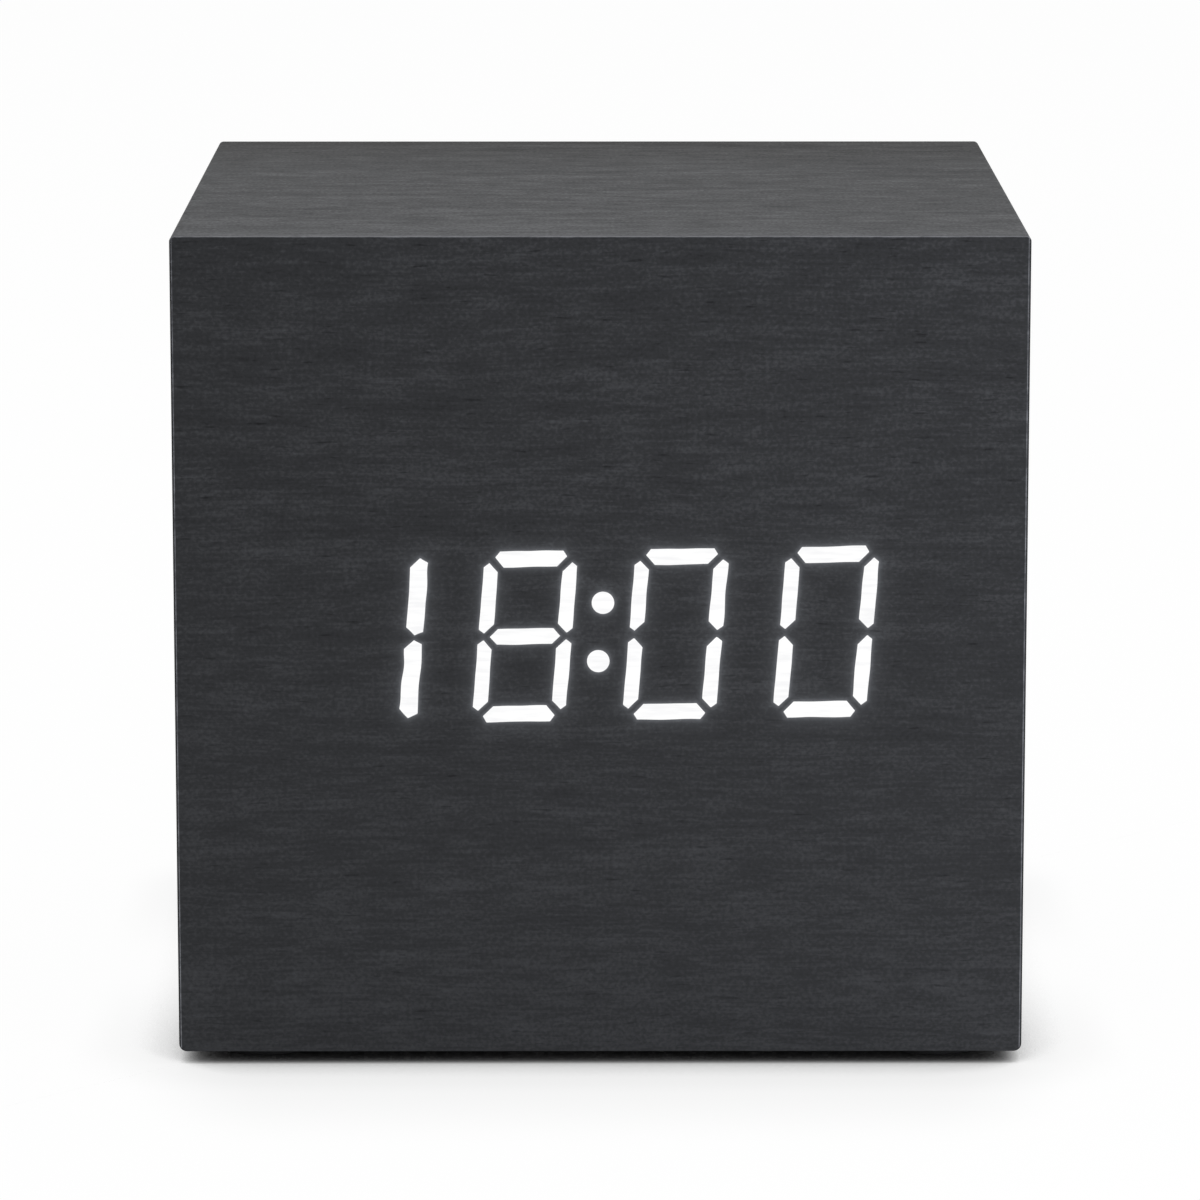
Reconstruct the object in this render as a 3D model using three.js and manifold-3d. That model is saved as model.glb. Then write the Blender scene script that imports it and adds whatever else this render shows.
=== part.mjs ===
// Digital alarm clock: a small veneered box that shows the time through its front.
// Millimetres, +Z up, front towards -Y, origin on the table under the middle of the box.
import * as THREE from "three";
import { mergeVertices } from "three/addons/utils/BufferGeometryUtils.js";
import Module from "manifold-3d";

const wasm = await Module();
wasm.setup();

// Case, measured over the veneer. Its width and height follow from what it holds.
const caseDepth = 65;
const cornerRadius = 0.9; // the four edges that run front to back
const edgeRadius = 0.3; // round the front and round the rear rim
const veneerThickness = 0.4;
const boardThickness = 4;
const sideRoom = 2.05; // between the battery well and the side boards
const stripHeight = 12.85; // above the battery well, for the buttons

// Clearances
const contactGap = 0.05; // a glue line, or two faces that bear on each other
const partGap = 0.3; // between pieces that are fitted or that move
const threadGap = 0.1; // round a screw in its pilot hole
const lensGap = 0.08; // round a lens bar in its cavity
const overrun = 2; // how far a cutter runs past the face that it opens

// Feet
const footHeight = 1;
const footRadius = 4;
const footInset = 6.5; // from the sides of the case to a foot's middle
const footRim = 0.3; // rounding of a foot's lower edge

// Time display
const displayRaise = 1.05; // its middle above the middle of the case
const displayTurn = 0.86; // degrees that it sits askew in its window
const digitCount = 4;
const digitWidth = 6.02; // between the centre lines of the upright bars
const digitHeight = 12; // between the centre lines of the top and bottom bars
const digitSlant = 5.4; // degrees
const barThickness = 1.27;
const uprightThickness = 1.15;
const barEndGap = 0.25; // from a bar's tip to where two centre lines cross
const outerChamfer = 0.33;
const innerChamfer = 0.72;
const boldBarLength = 6.08; // the two bars of the leading 1
const boldBarThickness = 1.4;
const boldBarGap = 0.22;
const colonRadius = 0.88;
const colonSpacing = 4.52;
const colonRaise = 0.26;
const webThickness = 0.8;
const webMargin = 0.4; // web left round the bars that stand on it
const webSpace = 0.35; // between a digit's web and the colon's
const maskBorder = 1.4;

// Main circuit board, behind the front
const boardMargin = 1.6; // to the side boards
const mainBoardSide = 3; // left and right of the mask
const mainBoardRim = 5; // above and below the mask, for the screws
const mainBoardThickness = 1.6;
const mainScrewInset = 2.4;
const mainScrewLength = 4.2;
const controllerSize = [10, 1.9, 6.4];
const controllerChamfer = 0.5;
const capacitorRadius = 2.5;
const capacitorHeight = 8;
const buzzerRadius = 6;
const buzzerHeight = 7.5;
const buzzerHoleRadius = 1;
const buzzerHoleDepth = 1.5;
const coinRadius = 10;
const coinThickness = 3.2;
const coinEdge = 0.3;
const holderWall = 1.4;
const holderBase = 1;
const holderSlotWidth = 8;
const componentGap = 1.5;

// Rear cover
const coverRecess = 1; // below the rim of the case
const coverThickness = 2.6;
const coverCorner = 1;
const blockSize = 6.6;
const blockLength = 12;

// Screws
const coverScrewRadius = 1.1;
const coverScrewHead = 1.9;
const coverScrewHeadHeight = 1.1;
const coverScrewLength = 8;
const coverScrewSink = 1.2; // depth of the pocket for the head
const smallScrewRadius = 0.8;
const smallScrewHead = 1.5;
const smallScrewHeadHeight = 0.9;
const smallScrewLength = 5;
const driveShare = 0.62; // of a head's radius that the cross recess spans
const driveDepthShare = 0.55;
const driveWidthShare = 0.3;

// Battery cells, size AAA
const cellCount = 3;
const cellDiameter = 10.2;
const cellLength = 44; // with the button on its end
const cellEdge = 0.5;
const nubRadius = 1.8;
const nubHeight = 0.8;
const cellSpace = 0.3; // between neighbours
const cellSideGap = 0.5; // to the walls above and below
const doorToCell = 1;

// Battery well and its contacts
const wellWall = 1.2;
const ledgeWidth = 1; // the door's seat round the well
const contactThickness = 0.5;
const contactWidth = 8.6;
const contactDepth = 8.8;
const dimpleRadius = 1.8;
const dimpleHeight = 0.4;
const springLength = 4;
const springWire = 0.6;
const springBaseRadius = 3.4;
const springTipRadius = 1.9;
const springTurns = 3.5;
const tabWidth = 2.6;
const tabLength = 2; // past the well's floor, for the lead

// Battery door
const doorThickness = 1.4;
const doorCorner = 0.8;
const hookWidth = 6;
const hookSpread = 30; // between the middles of the two hooks
const hookThickness = 1;
const hookReach = 1.4; // how far a hook goes past the door's lower edge
const tongueWidth = 11;
const tongueLength = 7;
const tongueSlot = 0.8;
const noseDepth = 1;
const noseHeight = 1.2;
const gripRibs = 4;
const gripRibWidth = 0.6;
const gripRibPitch = 1.3;
const gripRibHeight = 0.4;

// Buttons and their switches
const buttonRadius = 3.1;
const buttonProud = 0.6;
const buttonChamfer = 0.35;
const buttonFlangeRadius = 3.8;
const buttonFlange = 1;
const buttonPostRadius = 1.5;
const buttonPostLength = 0.8;
const symbolRadius = 1.4;
const symbolLine = 0.5;
const symbolHeight = 0.2;
const switchSize = 6;
const switchHeight = 3.5;
const plungerRadius = 1.7;
const plungerProud = 1;
const plungerSunk = 0.6;
const plungerRoom = 0.8; // below the plunger, inside the switch

// Button board
const buttonBoardThickness = 1.2;
const bossRadius = 1.9;
const rowGap = 0.6; // between the things in the row on the board
const rowEdge = 0.6; // board left at each end of the row
const boardSpace = 0.6; // round the board

// Power inlet
const jackWidth = 6.8;
const jackNoseRadius = 3;
const jackNoseSunk = 0.3;
const jackBoreRadius = 1.8;
const jackBoreDepth = 6.5;
const jackPinRadius = 0.6;
const jackPinSunk = 1;

// Sound slots
const slotCount = 9;
const slotPitch = 2.2;
const slotWidth = 1;
const slotLength = 3.4;

// Wires
const ribbonWidth = 7.6;
const ribbonThickness = 0.9;
const ribbonBow = 16; // how far the ribbon runs straight before it bends
const ribbonInset = 3; // from the main board's upper edge
const leadRadius = 0.6;
const leadBow = 12;
const leadToScrew = 4;

// Faceting
const arcSteps = 3; // a quarter of an outline's circle gets twice as many
const bevelSteps = 2;
const discSides = 24;
const smallSides = 12;
const coilSteps = 8; // for one turn
const wireSteps = 3;
const leadSides = 8;
const leadSteps = 16;
const ribbonSteps = 18;
const weld = 1e-4;

// What the case has to hold: the battery well, the display and the row of buttons
const cellPitch = cellDiameter + cellSpace;
const wellLength = cellLength + springLength + dimpleHeight + 2 * contactThickness + 4 * contactGap;
const wellHeight = (cellCount - 1) * cellPitch + cellDiameter + 2 * cellSideGap;
const lean = Math.tan(THREE.MathUtils.degToRad(digitSlant));
const webHalfWidth = (digitWidth + boldBarThickness) / 2 + webMargin;
const webHalfHeight = (digitHeight + barThickness) / 2 + webMargin;
const colonWebHalf = colonRadius + webMargin;
const colonWebHeight = colonSpacing / 2 + colonRaise + colonWebHalf;
const digitPitch = 2 * (webHalfWidth + colonWebHalf + webSpace);
const maskHalfWidth = (digitCount - 1) * (digitPitch / 2) + webHalfWidth + webHalfHeight * lean + maskBorder;
const maskWidth = 2 * maskHalfWidth;
const maskHeight = 2 * (webHalfHeight + maskBorder);
const mainBoardWidth = maskWidth + 2 * mainBoardSide;
const mainBoardHeight = maskHeight + 2 * mainBoardRim;
const rowWidths = [bossRadius, buttonFlangeRadius, buttonFlangeRadius, buttonFlangeRadius]
  .map((radius) => 2 * radius)
  .concat(jackWidth, 2 * bossRadius);
const rowLength = rowWidths.reduce((sum, width) => sum + width + rowGap, -rowGap);
const buttonBoardWidth = rowLength + 2 * rowEdge;

// The case round it
const innerHalfWidth =
  Math.max(
    wellLength + 2 * (wellWall + sideRoom),
    mainBoardWidth + 2 * boardMargin,
    buttonBoardWidth + 2 * (boardSpace + blockSize + contactGap),
  ) / 2;
const innerHalfHeight =
  (contactGap + blockSize + partGap + wellHeight + 2 * wellWall + stripHeight) / 2;
const boardHalfWidth = innerHalfWidth + boardThickness;
const boardHalfHeight = innerHalfHeight + boardThickness;
const halfWidth = boardHalfWidth + contactGap + veneerThickness;
const halfHeight = boardHalfHeight + contactGap + veneerThickness;
const caseWidth = 2 * halfWidth;
const caseHeight = 2 * halfHeight;
const halfDepth = caseDepth / 2;
const boardHalfDepth = halfDepth - veneerThickness - contactGap;
const innerHalfDepth = boardHalfDepth - boardThickness;

const materials = {
  veneer: finish("#3b3b3e", 0.55),
  fibreboard: finish("#9a7550", 0.9),
  hardwood: finish("#b98f5e", 0.8),
  rubber: finish("#1a1a1b", 0.95),
  mask: finish("#1c1c1e", 0.7),
  lens: finish("#ffffff", 0.35),
  casing: finish("#202124", 0.6),
  keycap: finish("#2e3033", 0.5),
  laminate: finish("#1f6b45", 0.5),
  component: finish("#17181a", 0.45),
  steel: finish("#b9bcc0", 0.35, 1),
  nickel: finish("#c9c7bf", 0.3, 1),
  brass: finish("#b9924a", 0.35, 1),
  cell: finish("#33495e", 0.4),
  plunger: finish("#0f0f10", 0.5),
  red: finish("#b3241d", 0.6),
  black: finish("#161616", 0.6),
  ribbon: finish("#8d9096", 0.6),
};

function finish(color, roughness, metalness = 0) {
  return new THREE.MeshStandardMaterial({ color, roughness, metalness });
}

// Solids, and the ways that they are cut and joined

function solid(geometry) {
  const bare = geometry.clone();
  bare.deleteAttribute("normal");
  bare.deleteAttribute("uv");
  const merged = mergeVertices(bare, weld);
  return new wasm.Manifold(
    new wasm.Mesh({
      numProp: 3,
      vertProperties: merged.attributes.position.array,
      triVerts: new Uint32Array(merged.index.array),
    }),
  );
}

function geometryOf(manifold) {
  const mesh = manifold.getMesh();
  const geometry = new THREE.BufferGeometry();
  geometry.setAttribute("position", new THREE.BufferAttribute(mesh.vertProperties, 3));
  geometry.setIndex(new THREE.BufferAttribute(mesh.triVerts, 1));
  geometry.computeVertexNormals();
  return geometry;
}

function cut(body, ...cutters) {
  return geometryOf(cutters.reduce((rest, cutter) => rest.subtract(solid(cutter)), solid(body)));
}

function join(...bodies) {
  return geometryOf(bodies.slice(1).reduce((sum, body) => sum.add(solid(body)), solid(bodies[0])));
}

// A box from one corner to the other.
function block(low, high) {
  const size = high.map((value, axis) => value - low[axis]);
  const middle = high.map((value, axis) => (value + low[axis]) / 2);
  return new THREE.BoxGeometry(...size).translate(...middle);
}

// A box about the origin's axes, from y = from to y = to.
function bar(width, height, from, to, x = 0, z = 0) {
  return block([x - width / 2, from, z - height / 2], [x + width / 2, to, z + height / 2]);
}

// A round bar along Y.
function rod(radius, from, to, x = 0, z = 0, sides = discSides) {
  return new THREE.CylinderGeometry(radius, radius, to - from, sides).translate(x, (from + to) / 2, z);
}

// A turned piece about an axis along Y. The profile holds radius and y, from one end to the other.
function turned(profile, sides = discSides) {
  const points = profile.map(([radius, y]) => new THREE.Vector2(radius, y));
  return new THREE.LatheGeometry(points, sides);
}

// Raises an outline drawn in x and z into a prism from y = from to y = to.
function prism(shape, from, to) {
  const settings = { depth: to - from, bevelEnabled: false, curveSegments: arcSteps };
  return new THREE.ExtrudeGeometry(shape, settings).rotateX(Math.PI / 2).translate(0, to, 0);
}

function roundedRectangle(width, height, radius) {
  const [right, top] = [width / 2, height / 2];
  const shape = new THREE.Shape();
  shape.absarc(right - radius, top - radius, radius, 0, Math.PI / 2);
  shape.absarc(radius - right, top - radius, radius, Math.PI / 2, Math.PI);
  shape.absarc(radius - right, radius - top, radius, Math.PI, -Math.PI / 2);
  shape.absarc(right - radius, radius - top, radius, -Math.PI / 2, 0);
  return shape;
}

function polygon(points) {
  return new THREE.Shape(points.map(([x, z]) => new THREE.Vector2(x, z)));
}

// Moves each side of a convex outline outwards.
function grown(points, distance) {
  const turn = THREE.ShapeUtils.area(points.map(([x, y]) => ({ x, y }))) > 0 ? 1 : -1;
  return points.map((point, i) => {
    const before = points[(i + points.length - 1) % points.length];
    const after = points[(i + 1) % points.length];
    const normals = [
      [point[1] - before[1], before[0] - point[0]],
      [after[1] - point[1], point[0] - after[0]],
    ].map(([x, z]) => [(turn * x) / Math.hypot(x, z), (turn * z) / Math.hypot(x, z)]);
    const [first, second] = normals;
    const spread = 1 + first[0] * second[0] + first[1] * second[1];
    return [0, 1].map((axis) => point[axis] + (distance * (first[axis] + second[axis])) / spread);
  });
}

// A six-sided solid between two four-cornered faces.
function slab(outer, inner) {
  const corners = [...outer, ...inner].flat();
  const faces = [0, 1, 2, 0, 2, 3, 4, 6, 5, 4, 7, 6];
  for (let i = 0; i < 4; i++) {
    const next = (i + 1) % 4;
    faces.push(i, i + 4, next, next, i + 4, next + 4);
  }
  const geometry = new THREE.BufferGeometry();
  geometry.setAttribute("position", new THREE.Float32BufferAttribute(corners, 3));
  geometry.setIndex(faces);
  if (solid(geometry).volume() < 0) geometry.setIndex(faces.reverse());
  geometry.computeVertexNormals();
  return geometry;
}

const clock = new THREE.Group();
const box = new THREE.Group(); // its origin is the middle of the case
box.position.z = footHeight + halfHeight;
clock.add(box);

function piece(name, geometry, material, group, position = [0, 0, 0]) {
  const mesh = new THREE.Mesh(geometry, material);
  mesh.name = name;
  mesh.position.set(...position);
  group.add(mesh);
  return mesh;
}

// Wooden case: five mitred boards with a skin of veneer folded round them

function mitredBoards() {
  const [w, d, h] = [boardHalfWidth, boardHalfDepth, boardHalfHeight];
  const [iw, id, ih] = [innerHalfWidth, innerHalfDepth, innerHalfHeight];
  const g = contactGap;
  const face = (a, b, place) => [place(-a, -b), place(a, -b), place(a, b), place(-a, b)];
  const front = slab(
    face(w, h, (x, z) => [x, -d, z]),
    face(iw, ih, (x, z) => [x, -id, z]),
  );
  const flat = (side) => {
    const level = (x, z, frontY) => [
      [-x, frontY + g, side * z],
      [x, frontY + g, side * z],
      [x, d, side * z],
      [-x, d, side * z],
    ];
    return slab(level(w, h, -d), level(iw, ih, -id));
  };
  const upright = (side) => {
    const level = (x, z, frontY) => [
      [side * x, frontY + g, g - z],
      [side * x, frontY + g, z - g],
      [side * x, d, z - g],
      [side * x, d, g - z],
    ];
    return slab(level(w, h, -d), level(iw, ih, -id));
  };
  return { front, top: flat(1), bottom: flat(-1), left: upright(-1), right: upright(1) };
}

function veneerSkin() {
  const outline = roundedRectangle(
    caseWidth - 2 * edgeRadius,
    caseHeight - 2 * edgeRadius,
    cornerRadius - edgeRadius,
  );
  const settings = {
    depth: caseDepth - 2 * edgeRadius,
    bevelThickness: edgeRadius,
    bevelSize: edgeRadius,
    bevelSegments: bevelSteps,
    curveSegments: arcSteps,
  };
  const outside = new THREE.ExtrudeGeometry(outline, settings)
    .rotateX(Math.PI / 2)
    .translate(0, halfDepth - edgeRadius, 0);
  const within = veneerThickness;
  const [width, height] = [caseWidth - 2 * within, caseHeight - 2 * within];
  const hollow = bar(width, height, within - halfDepth, halfDepth - within);
  const opening = bar(2 * innerHalfWidth, 2 * innerHalfHeight, innerHalfDepth, halfDepth + overrun);
  const windows = litOutlines().map((points) =>
    onDisplay(prism(polygon(grown(points, lensGap)), -overrun, boardThickness)),
  );
  return cut(outside, hollow, opening, ...windows);
}

// Seven-segment digits: outlines in x and z about a digit's middle, before the slant

// A bar with pointed ends: u runs along it, v points away from the digit's middle.
function barOutline(length, thickness, tipShare, outer, inner) {
  const [end, side] = [length / 2, thickness / 2];
  const tip = side - tipShare * thickness;
  return [
    [-end, tip],
    [outer - end, side],
    [end - outer, side],
    [end, tip],
    [end - inner, -side],
    [inner - end, -side],
  ];
}

const outerTipShare = 0.38;
const middleTipShare = 0.5;

function segmentOutlines(bold) {
  const half = digitHeight / 2;
  const across = digitWidth - 2 * barEndGap;
  const up = half - 2 * barEndGap;
  const side = digitWidth / 2;
  const flat = barOutline(across, barThickness, outerTipShare, outerChamfer, innerChamfer);
  const point = barThickness / 2;
  const middle = barOutline(across, barThickness, middleTipShare, point, point);
  const upright = barOutline(up, uprightThickness, outerTipShare, outerChamfer, innerChamfer);
  const boldSize = [boldBarLength, boldBarThickness];
  const boldBar = barOutline(...boldSize, middleTipShare, outerChamfer, innerChamfer);
  const boldMiddle = (boldBarLength + boldBarGap) / 2;
  const right = bold ? boldBar : upright;
  const rightMiddle = bold ? boldMiddle : half / 2;
  const place = (points, put) => points.map(([u, v]) => put(u, v));
  return {
    a: place(flat, (u, v) => [u, half + v]),
    b: place(right, (u, v) => [side + v, rightMiddle + u]),
    c: place(right, (u, v) => [side + v, -rightMiddle - u]),
    d: place(flat, (u, v) => [u, -half - v]),
    e: place(upright, (u, v) => [-side - v, -half / 2 - u]),
    f: place(upright, (u, v) => [-side - v, half / 2 + u]),
    g: place(middle, (u, v) => [u, v]),
  };
}

function slanted(points, x = 0) {
  return points.map(([across, up]) => [x + across + up * lean, up]);
}

function colonOutline(side) {
  const middle = colonRaise + (side * colonSpacing) / 2;
  return Array.from({ length: smallSides }, (_, i) => {
    const angle = (i / smallSides) * 2 * Math.PI;
    return [middle * lean + colonRadius * Math.cos(angle), middle + colonRadius * Math.sin(angle)];
  });
}

// What the display shows: 18:00
const digits = [
  { name: "tens_of_hours", lit: "bc", bold: true },
  { name: "hours", lit: "abcdefg", bold: false },
  { name: "tens_of_minutes", lit: "abcdef", bold: false },
  { name: "minutes", lit: "abcdef", bold: false },
];
const digitX = (i) => (i - (digitCount - 1) / 2) * digitPitch;

function digitOutlines(i, wanted) {
  const outlines = segmentOutlines(digits[i].bold);
  return Object.keys(outlines)
    .filter((segment) => wanted(digits[i].lit.includes(segment)))
    .map((segment) => slanted(outlines[segment], digitX(i)));
}

function litOutlines() {
  const bars = digits.flatMap((_, i) => digitOutlines(i, (lit) => lit));
  return [...bars, colonOutline(-1), colonOutline(1)];
}

// Display: in its frame, y = 0 is the outer face of the front board and +Y points inwards
const display = new THREE.Group();
display.position.set(0, -boardHalfDepth, displayRaise);
display.rotation.y = THREE.MathUtils.degToRad(-displayTurn);
box.add(display);

// Takes a shape from the display's frame to the case's.
function onDisplay(geometry) {
  return geometry.rotateY(display.rotation.y).translate(...display.position);
}

const litFace = -(veneerThickness + contactGap); // flush with the veneer
const webFace = boardThickness - webThickness;

function webOutline(halfWide, halfHigh, x) {
  const corners = [
    [-halfWide, -halfHigh],
    [halfWide, -halfHigh],
    [halfWide, halfHigh],
    [-halfWide, halfHigh],
  ];
  return slanted(corners, x);
}

function lens(web, lit, unlit) {
  const bars = [
    ...lit.map((points) => prism(polygon(points), litFace, boardThickness)),
    ...unlit.map((points) => prism(polygon(points), contactGap, boardThickness)),
  ];
  return join(prism(polygon(web), webFace, boardThickness), ...bars);
}

function segmentMask() {
  const bars = digits.flatMap((_, i) => digitOutlines(i, () => true));
  const cavities = [...bars, colonOutline(-1), colonOutline(1)].map((points) =>
    prism(polygon(grown(points, lensGap)), -overrun, boardThickness + overrun),
  );
  const webs = digits.map((_, i) => webOutline(webHalfWidth, webHalfHeight, digitX(i)));
  webs.push(webOutline(colonWebHalf, colonWebHeight, 0));
  const pockets = webs.map((points) =>
    prism(polygon(grown(points, lensGap)), webFace - lensGap, boardThickness + overrun),
  );
  return cut(bar(maskWidth, maskHeight, 0, boardThickness), ...pockets, ...cavities);
}

function buildDisplay() {
  piece("segment_mask", segmentMask(), materials.mask, display);
  digits.forEach((digit, i) => {
    const lit = digitOutlines(i, (on) => on);
    const unlit = digitOutlines(i, (on) => !on);
    const web = webOutline(webHalfWidth, webHalfHeight, digitX(i));
    piece(`lens_${digit.name}`, lens(web, lit, unlit), materials.lens, display);
  });
  const web = webOutline(colonWebHalf, colonWebHeight, 0);
  piece("lens_colon", lens(web, [colonOutline(-1), colonOutline(1)], []), materials.lens, display);
}

// Fasteners: the head bears on y = 0 and the shank points along -Y

function screw(radius, headRadius, headHeight, length) {
  const profile = [
    [0, -length],
    [radius / 2, -length],
    [radius, radius - length],
    [radius, 0],
    [headRadius, 0],
    [headRadius, headHeight / 2],
    [headRadius * driveShare, headHeight],
    [0, headHeight],
  ];
  const span = 2 * headRadius * driveShare;
  const width = headRadius * driveWidthShare;
  const floor = headHeight * (1 - driveDepthShare);
  const across = bar(span, width, floor, headHeight + overrun);
  const along = bar(width, span, floor, headHeight + overrun);
  return cut(turned(profile, smallSides), across, along);
}

function smallScrew(length) {
  return screw(smallScrewRadius, smallScrewHead, smallScrewHeadHeight, length);
}

// Main circuit board and what is soldered to its rear

const mainBoardFace = boardThickness + contactGap;
const mainBoardRear = mainBoardFace + mainBoardThickness;
const mainScrewX = mainBoardWidth / 2 - mainScrewInset;
const mainScrewZ = mainBoardHeight / 2 - mainScrewInset;
const mainScrewPlaces = [
  [-mainScrewX, -mainScrewZ],
  [mainScrewX, -mainScrewZ],
  [-mainScrewX, mainScrewZ],
  [mainScrewX, mainScrewZ],
];

function chip([width, height, depth]) {
  const [w, d, c] = [width / 2, depth / 2, controllerChamfer];
  const face = (x, y, z) => [
    [-x, y, -z],
    [x, y, -z],
    [x, y, z],
    [-x, y, z],
  ];
  return slab(face(w, 0, d), face(w - c, height, d - c));
}

function buzzer() {
  const can = turned([
    [0, 0],
    [buzzerRadius, 0],
    [buzzerRadius, buzzerHeight],
    [0, buzzerHeight],
  ]);
  const floor = buzzerHeight - buzzerHoleDepth;
  const hole = rod(buzzerHoleRadius, floor, buzzerHeight + overrun, 0, 0, smallSides);
  return cut(can, hole);
}

function coinCell() {
  return turned([
    [0, 0],
    [coinRadius - coinEdge, 0],
    [coinRadius, coinEdge],
    [coinRadius, coinThickness - coinEdge],
    [coinRadius - coinEdge, coinThickness],
    [0, coinThickness],
  ]);
}

const holderRadius = coinRadius + partGap + holderWall;

function coinHolder() {
  const top = holderBase + coinThickness;
  const cup = rod(holderRadius, 0, top);
  const seat = rod(coinRadius + partGap, holderBase, top + overrun);
  const slot = bar(holderSlotWidth, 2 * holderRadius, holderBase, top + overrun, 0, -holderRadius);
  return cut(cup, seat, slot);
}

function buildMainBoard() {
  const plate = bar(mainBoardWidth, mainBoardHeight, mainBoardFace, mainBoardRear);
  const holes = mainScrewPlaces.map(([x, z]) =>
    rod(smallScrewRadius + partGap, 0, mainBoardRear + overrun, x, z, smallSides),
  );
  piece("main_board", cut(plate, ...holes), materials.laminate, display);
  mainScrewPlaces.forEach(([x, z], i) => {
    const place = [x, mainBoardRear + contactGap, z];
    piece(`main_board_screw_${i + 1}`, smallScrew(mainScrewLength), materials.steel, display, place);
  });
  const rear = mainBoardRear + contactGap;
  const coinX = componentGap + holderRadius - mainBoardWidth / 2;
  const buzzerX = coinX + holderRadius + componentGap + buzzerRadius;
  const buzzerZ = -componentGap / 2 - buzzerRadius;
  const chipZ = (componentGap + controllerSize[2]) / 2;
  const canX = buzzerX + buzzerRadius + componentGap + capacitorRadius;
  piece("coin_cell_holder", coinHolder(), materials.component, display, [coinX, rear, 0]);
  piece("coin_cell", coinCell(), materials.nickel, display, [coinX, rear + holderBase + contactGap, 0]);
  piece("buzzer", buzzer(), materials.component, display, [buzzerX, rear, buzzerZ]);
  piece("controller_chip", chip(controllerSize), materials.component, display, [buzzerX, rear, chipZ]);
  const can = turned([
    [0, 0],
    [capacitorRadius, 0],
    [capacitorRadius, capacitorHeight],
    [0, capacitorHeight],
  ]);
  piece("capacitor", can, materials.component, display, [canX, rear, 0]);
}

// Rear cover: a plate with the battery well moulded on, set back from the rim of the case

const coverOuter = halfDepth - coverRecess;
const coverInner = coverOuter - coverThickness;
const coverWidth = 2 * (innerHalfWidth - partGap);
const coverHeight = 2 * (innerHalfHeight - partGap);
const blockX = innerHalfWidth - contactGap - blockSize / 2;
const blockZ = innerHalfHeight - contactGap - blockSize / 2;
const blockPlaces = [
  [-blockX, -blockZ],
  [blockX, -blockZ],
  [-blockX, blockZ],
  [blockX, blockZ],
];
const screwSeat = coverOuter - coverScrewSink;

// Battery well: its cells lie across the clock, one above another
const wellBottom = partGap + wellWall + blockSize / 2 - blockZ;
const wellMiddle = wellBottom + wellHeight / 2;
const cellY = coverOuter - doorThickness - doorToCell - cellDiameter / 2;
const wellFloor = cellY - cellDiameter / 2 - cellSideGap;
const wellUnderside = wellFloor - wellWall;
const tabEnd = wellUnderside - tabLength;
const cellZ = (i) => wellMiddle + ((cellCount - 1) / 2 - i) * cellPitch;
const plusSide = (i) => (i % 2 === 0 ? 1 : -1); // the cells lie head to tail

// Battery door
const doorWidth = wellLength + 2 * ledgeWidth;
const doorHeight = wellHeight + 2 * ledgeWidth;
const doorInner = coverOuter - doorThickness;
const doorSeat = doorInner - partGap;
const hookOuter = coverInner - partGap;
const hookInner = hookOuter - hookThickness;
const doorBottom = wellMiddle - doorHeight / 2;
const hookSwing = Math.hypot(coverOuter - hookInner, hookReach); // about the door's lower edge
const hookPlaces = [-hookSpread / 2, hookSpread / 2];

// Button board: it hangs on two bosses behind the strip above the well
const stripBottom = wellMiddle + wellHeight / 2 + wellWall;
const stripTop = coverHeight / 2;
const boardZ = (stripBottom + stripTop) / 2;
const buttonBoardHeight = stripTop - stripBottom - 2 * boardSpace;
const flangeTop = coverInner - partGap;
const postEnd = flangeTop - buttonFlange - buttonPostLength;
const plungerTop = postEnd - contactGap;
const switchTop = plungerTop - plungerProud;
const boardRear = switchTop - switchHeight - contactGap;
const boardFront = boardRear - buttonBoardThickness;
const rowX = rowWidths.map((width, i) => {
  const before = rowWidths.slice(0, i).reduce((sum, other) => sum + other + rowGap, 0);
  return rowLength / 2 - before - width / 2;
});
const [firstBossX, setX, upX, downX, jackX, lastBossX] = rowX;
const buttons = [
  { name: "set", x: setX },
  { name: "up", x: upX },
  { name: "down", x: downX },
];
const bossPlaces = [firstBossX, lastBossX];

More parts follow.
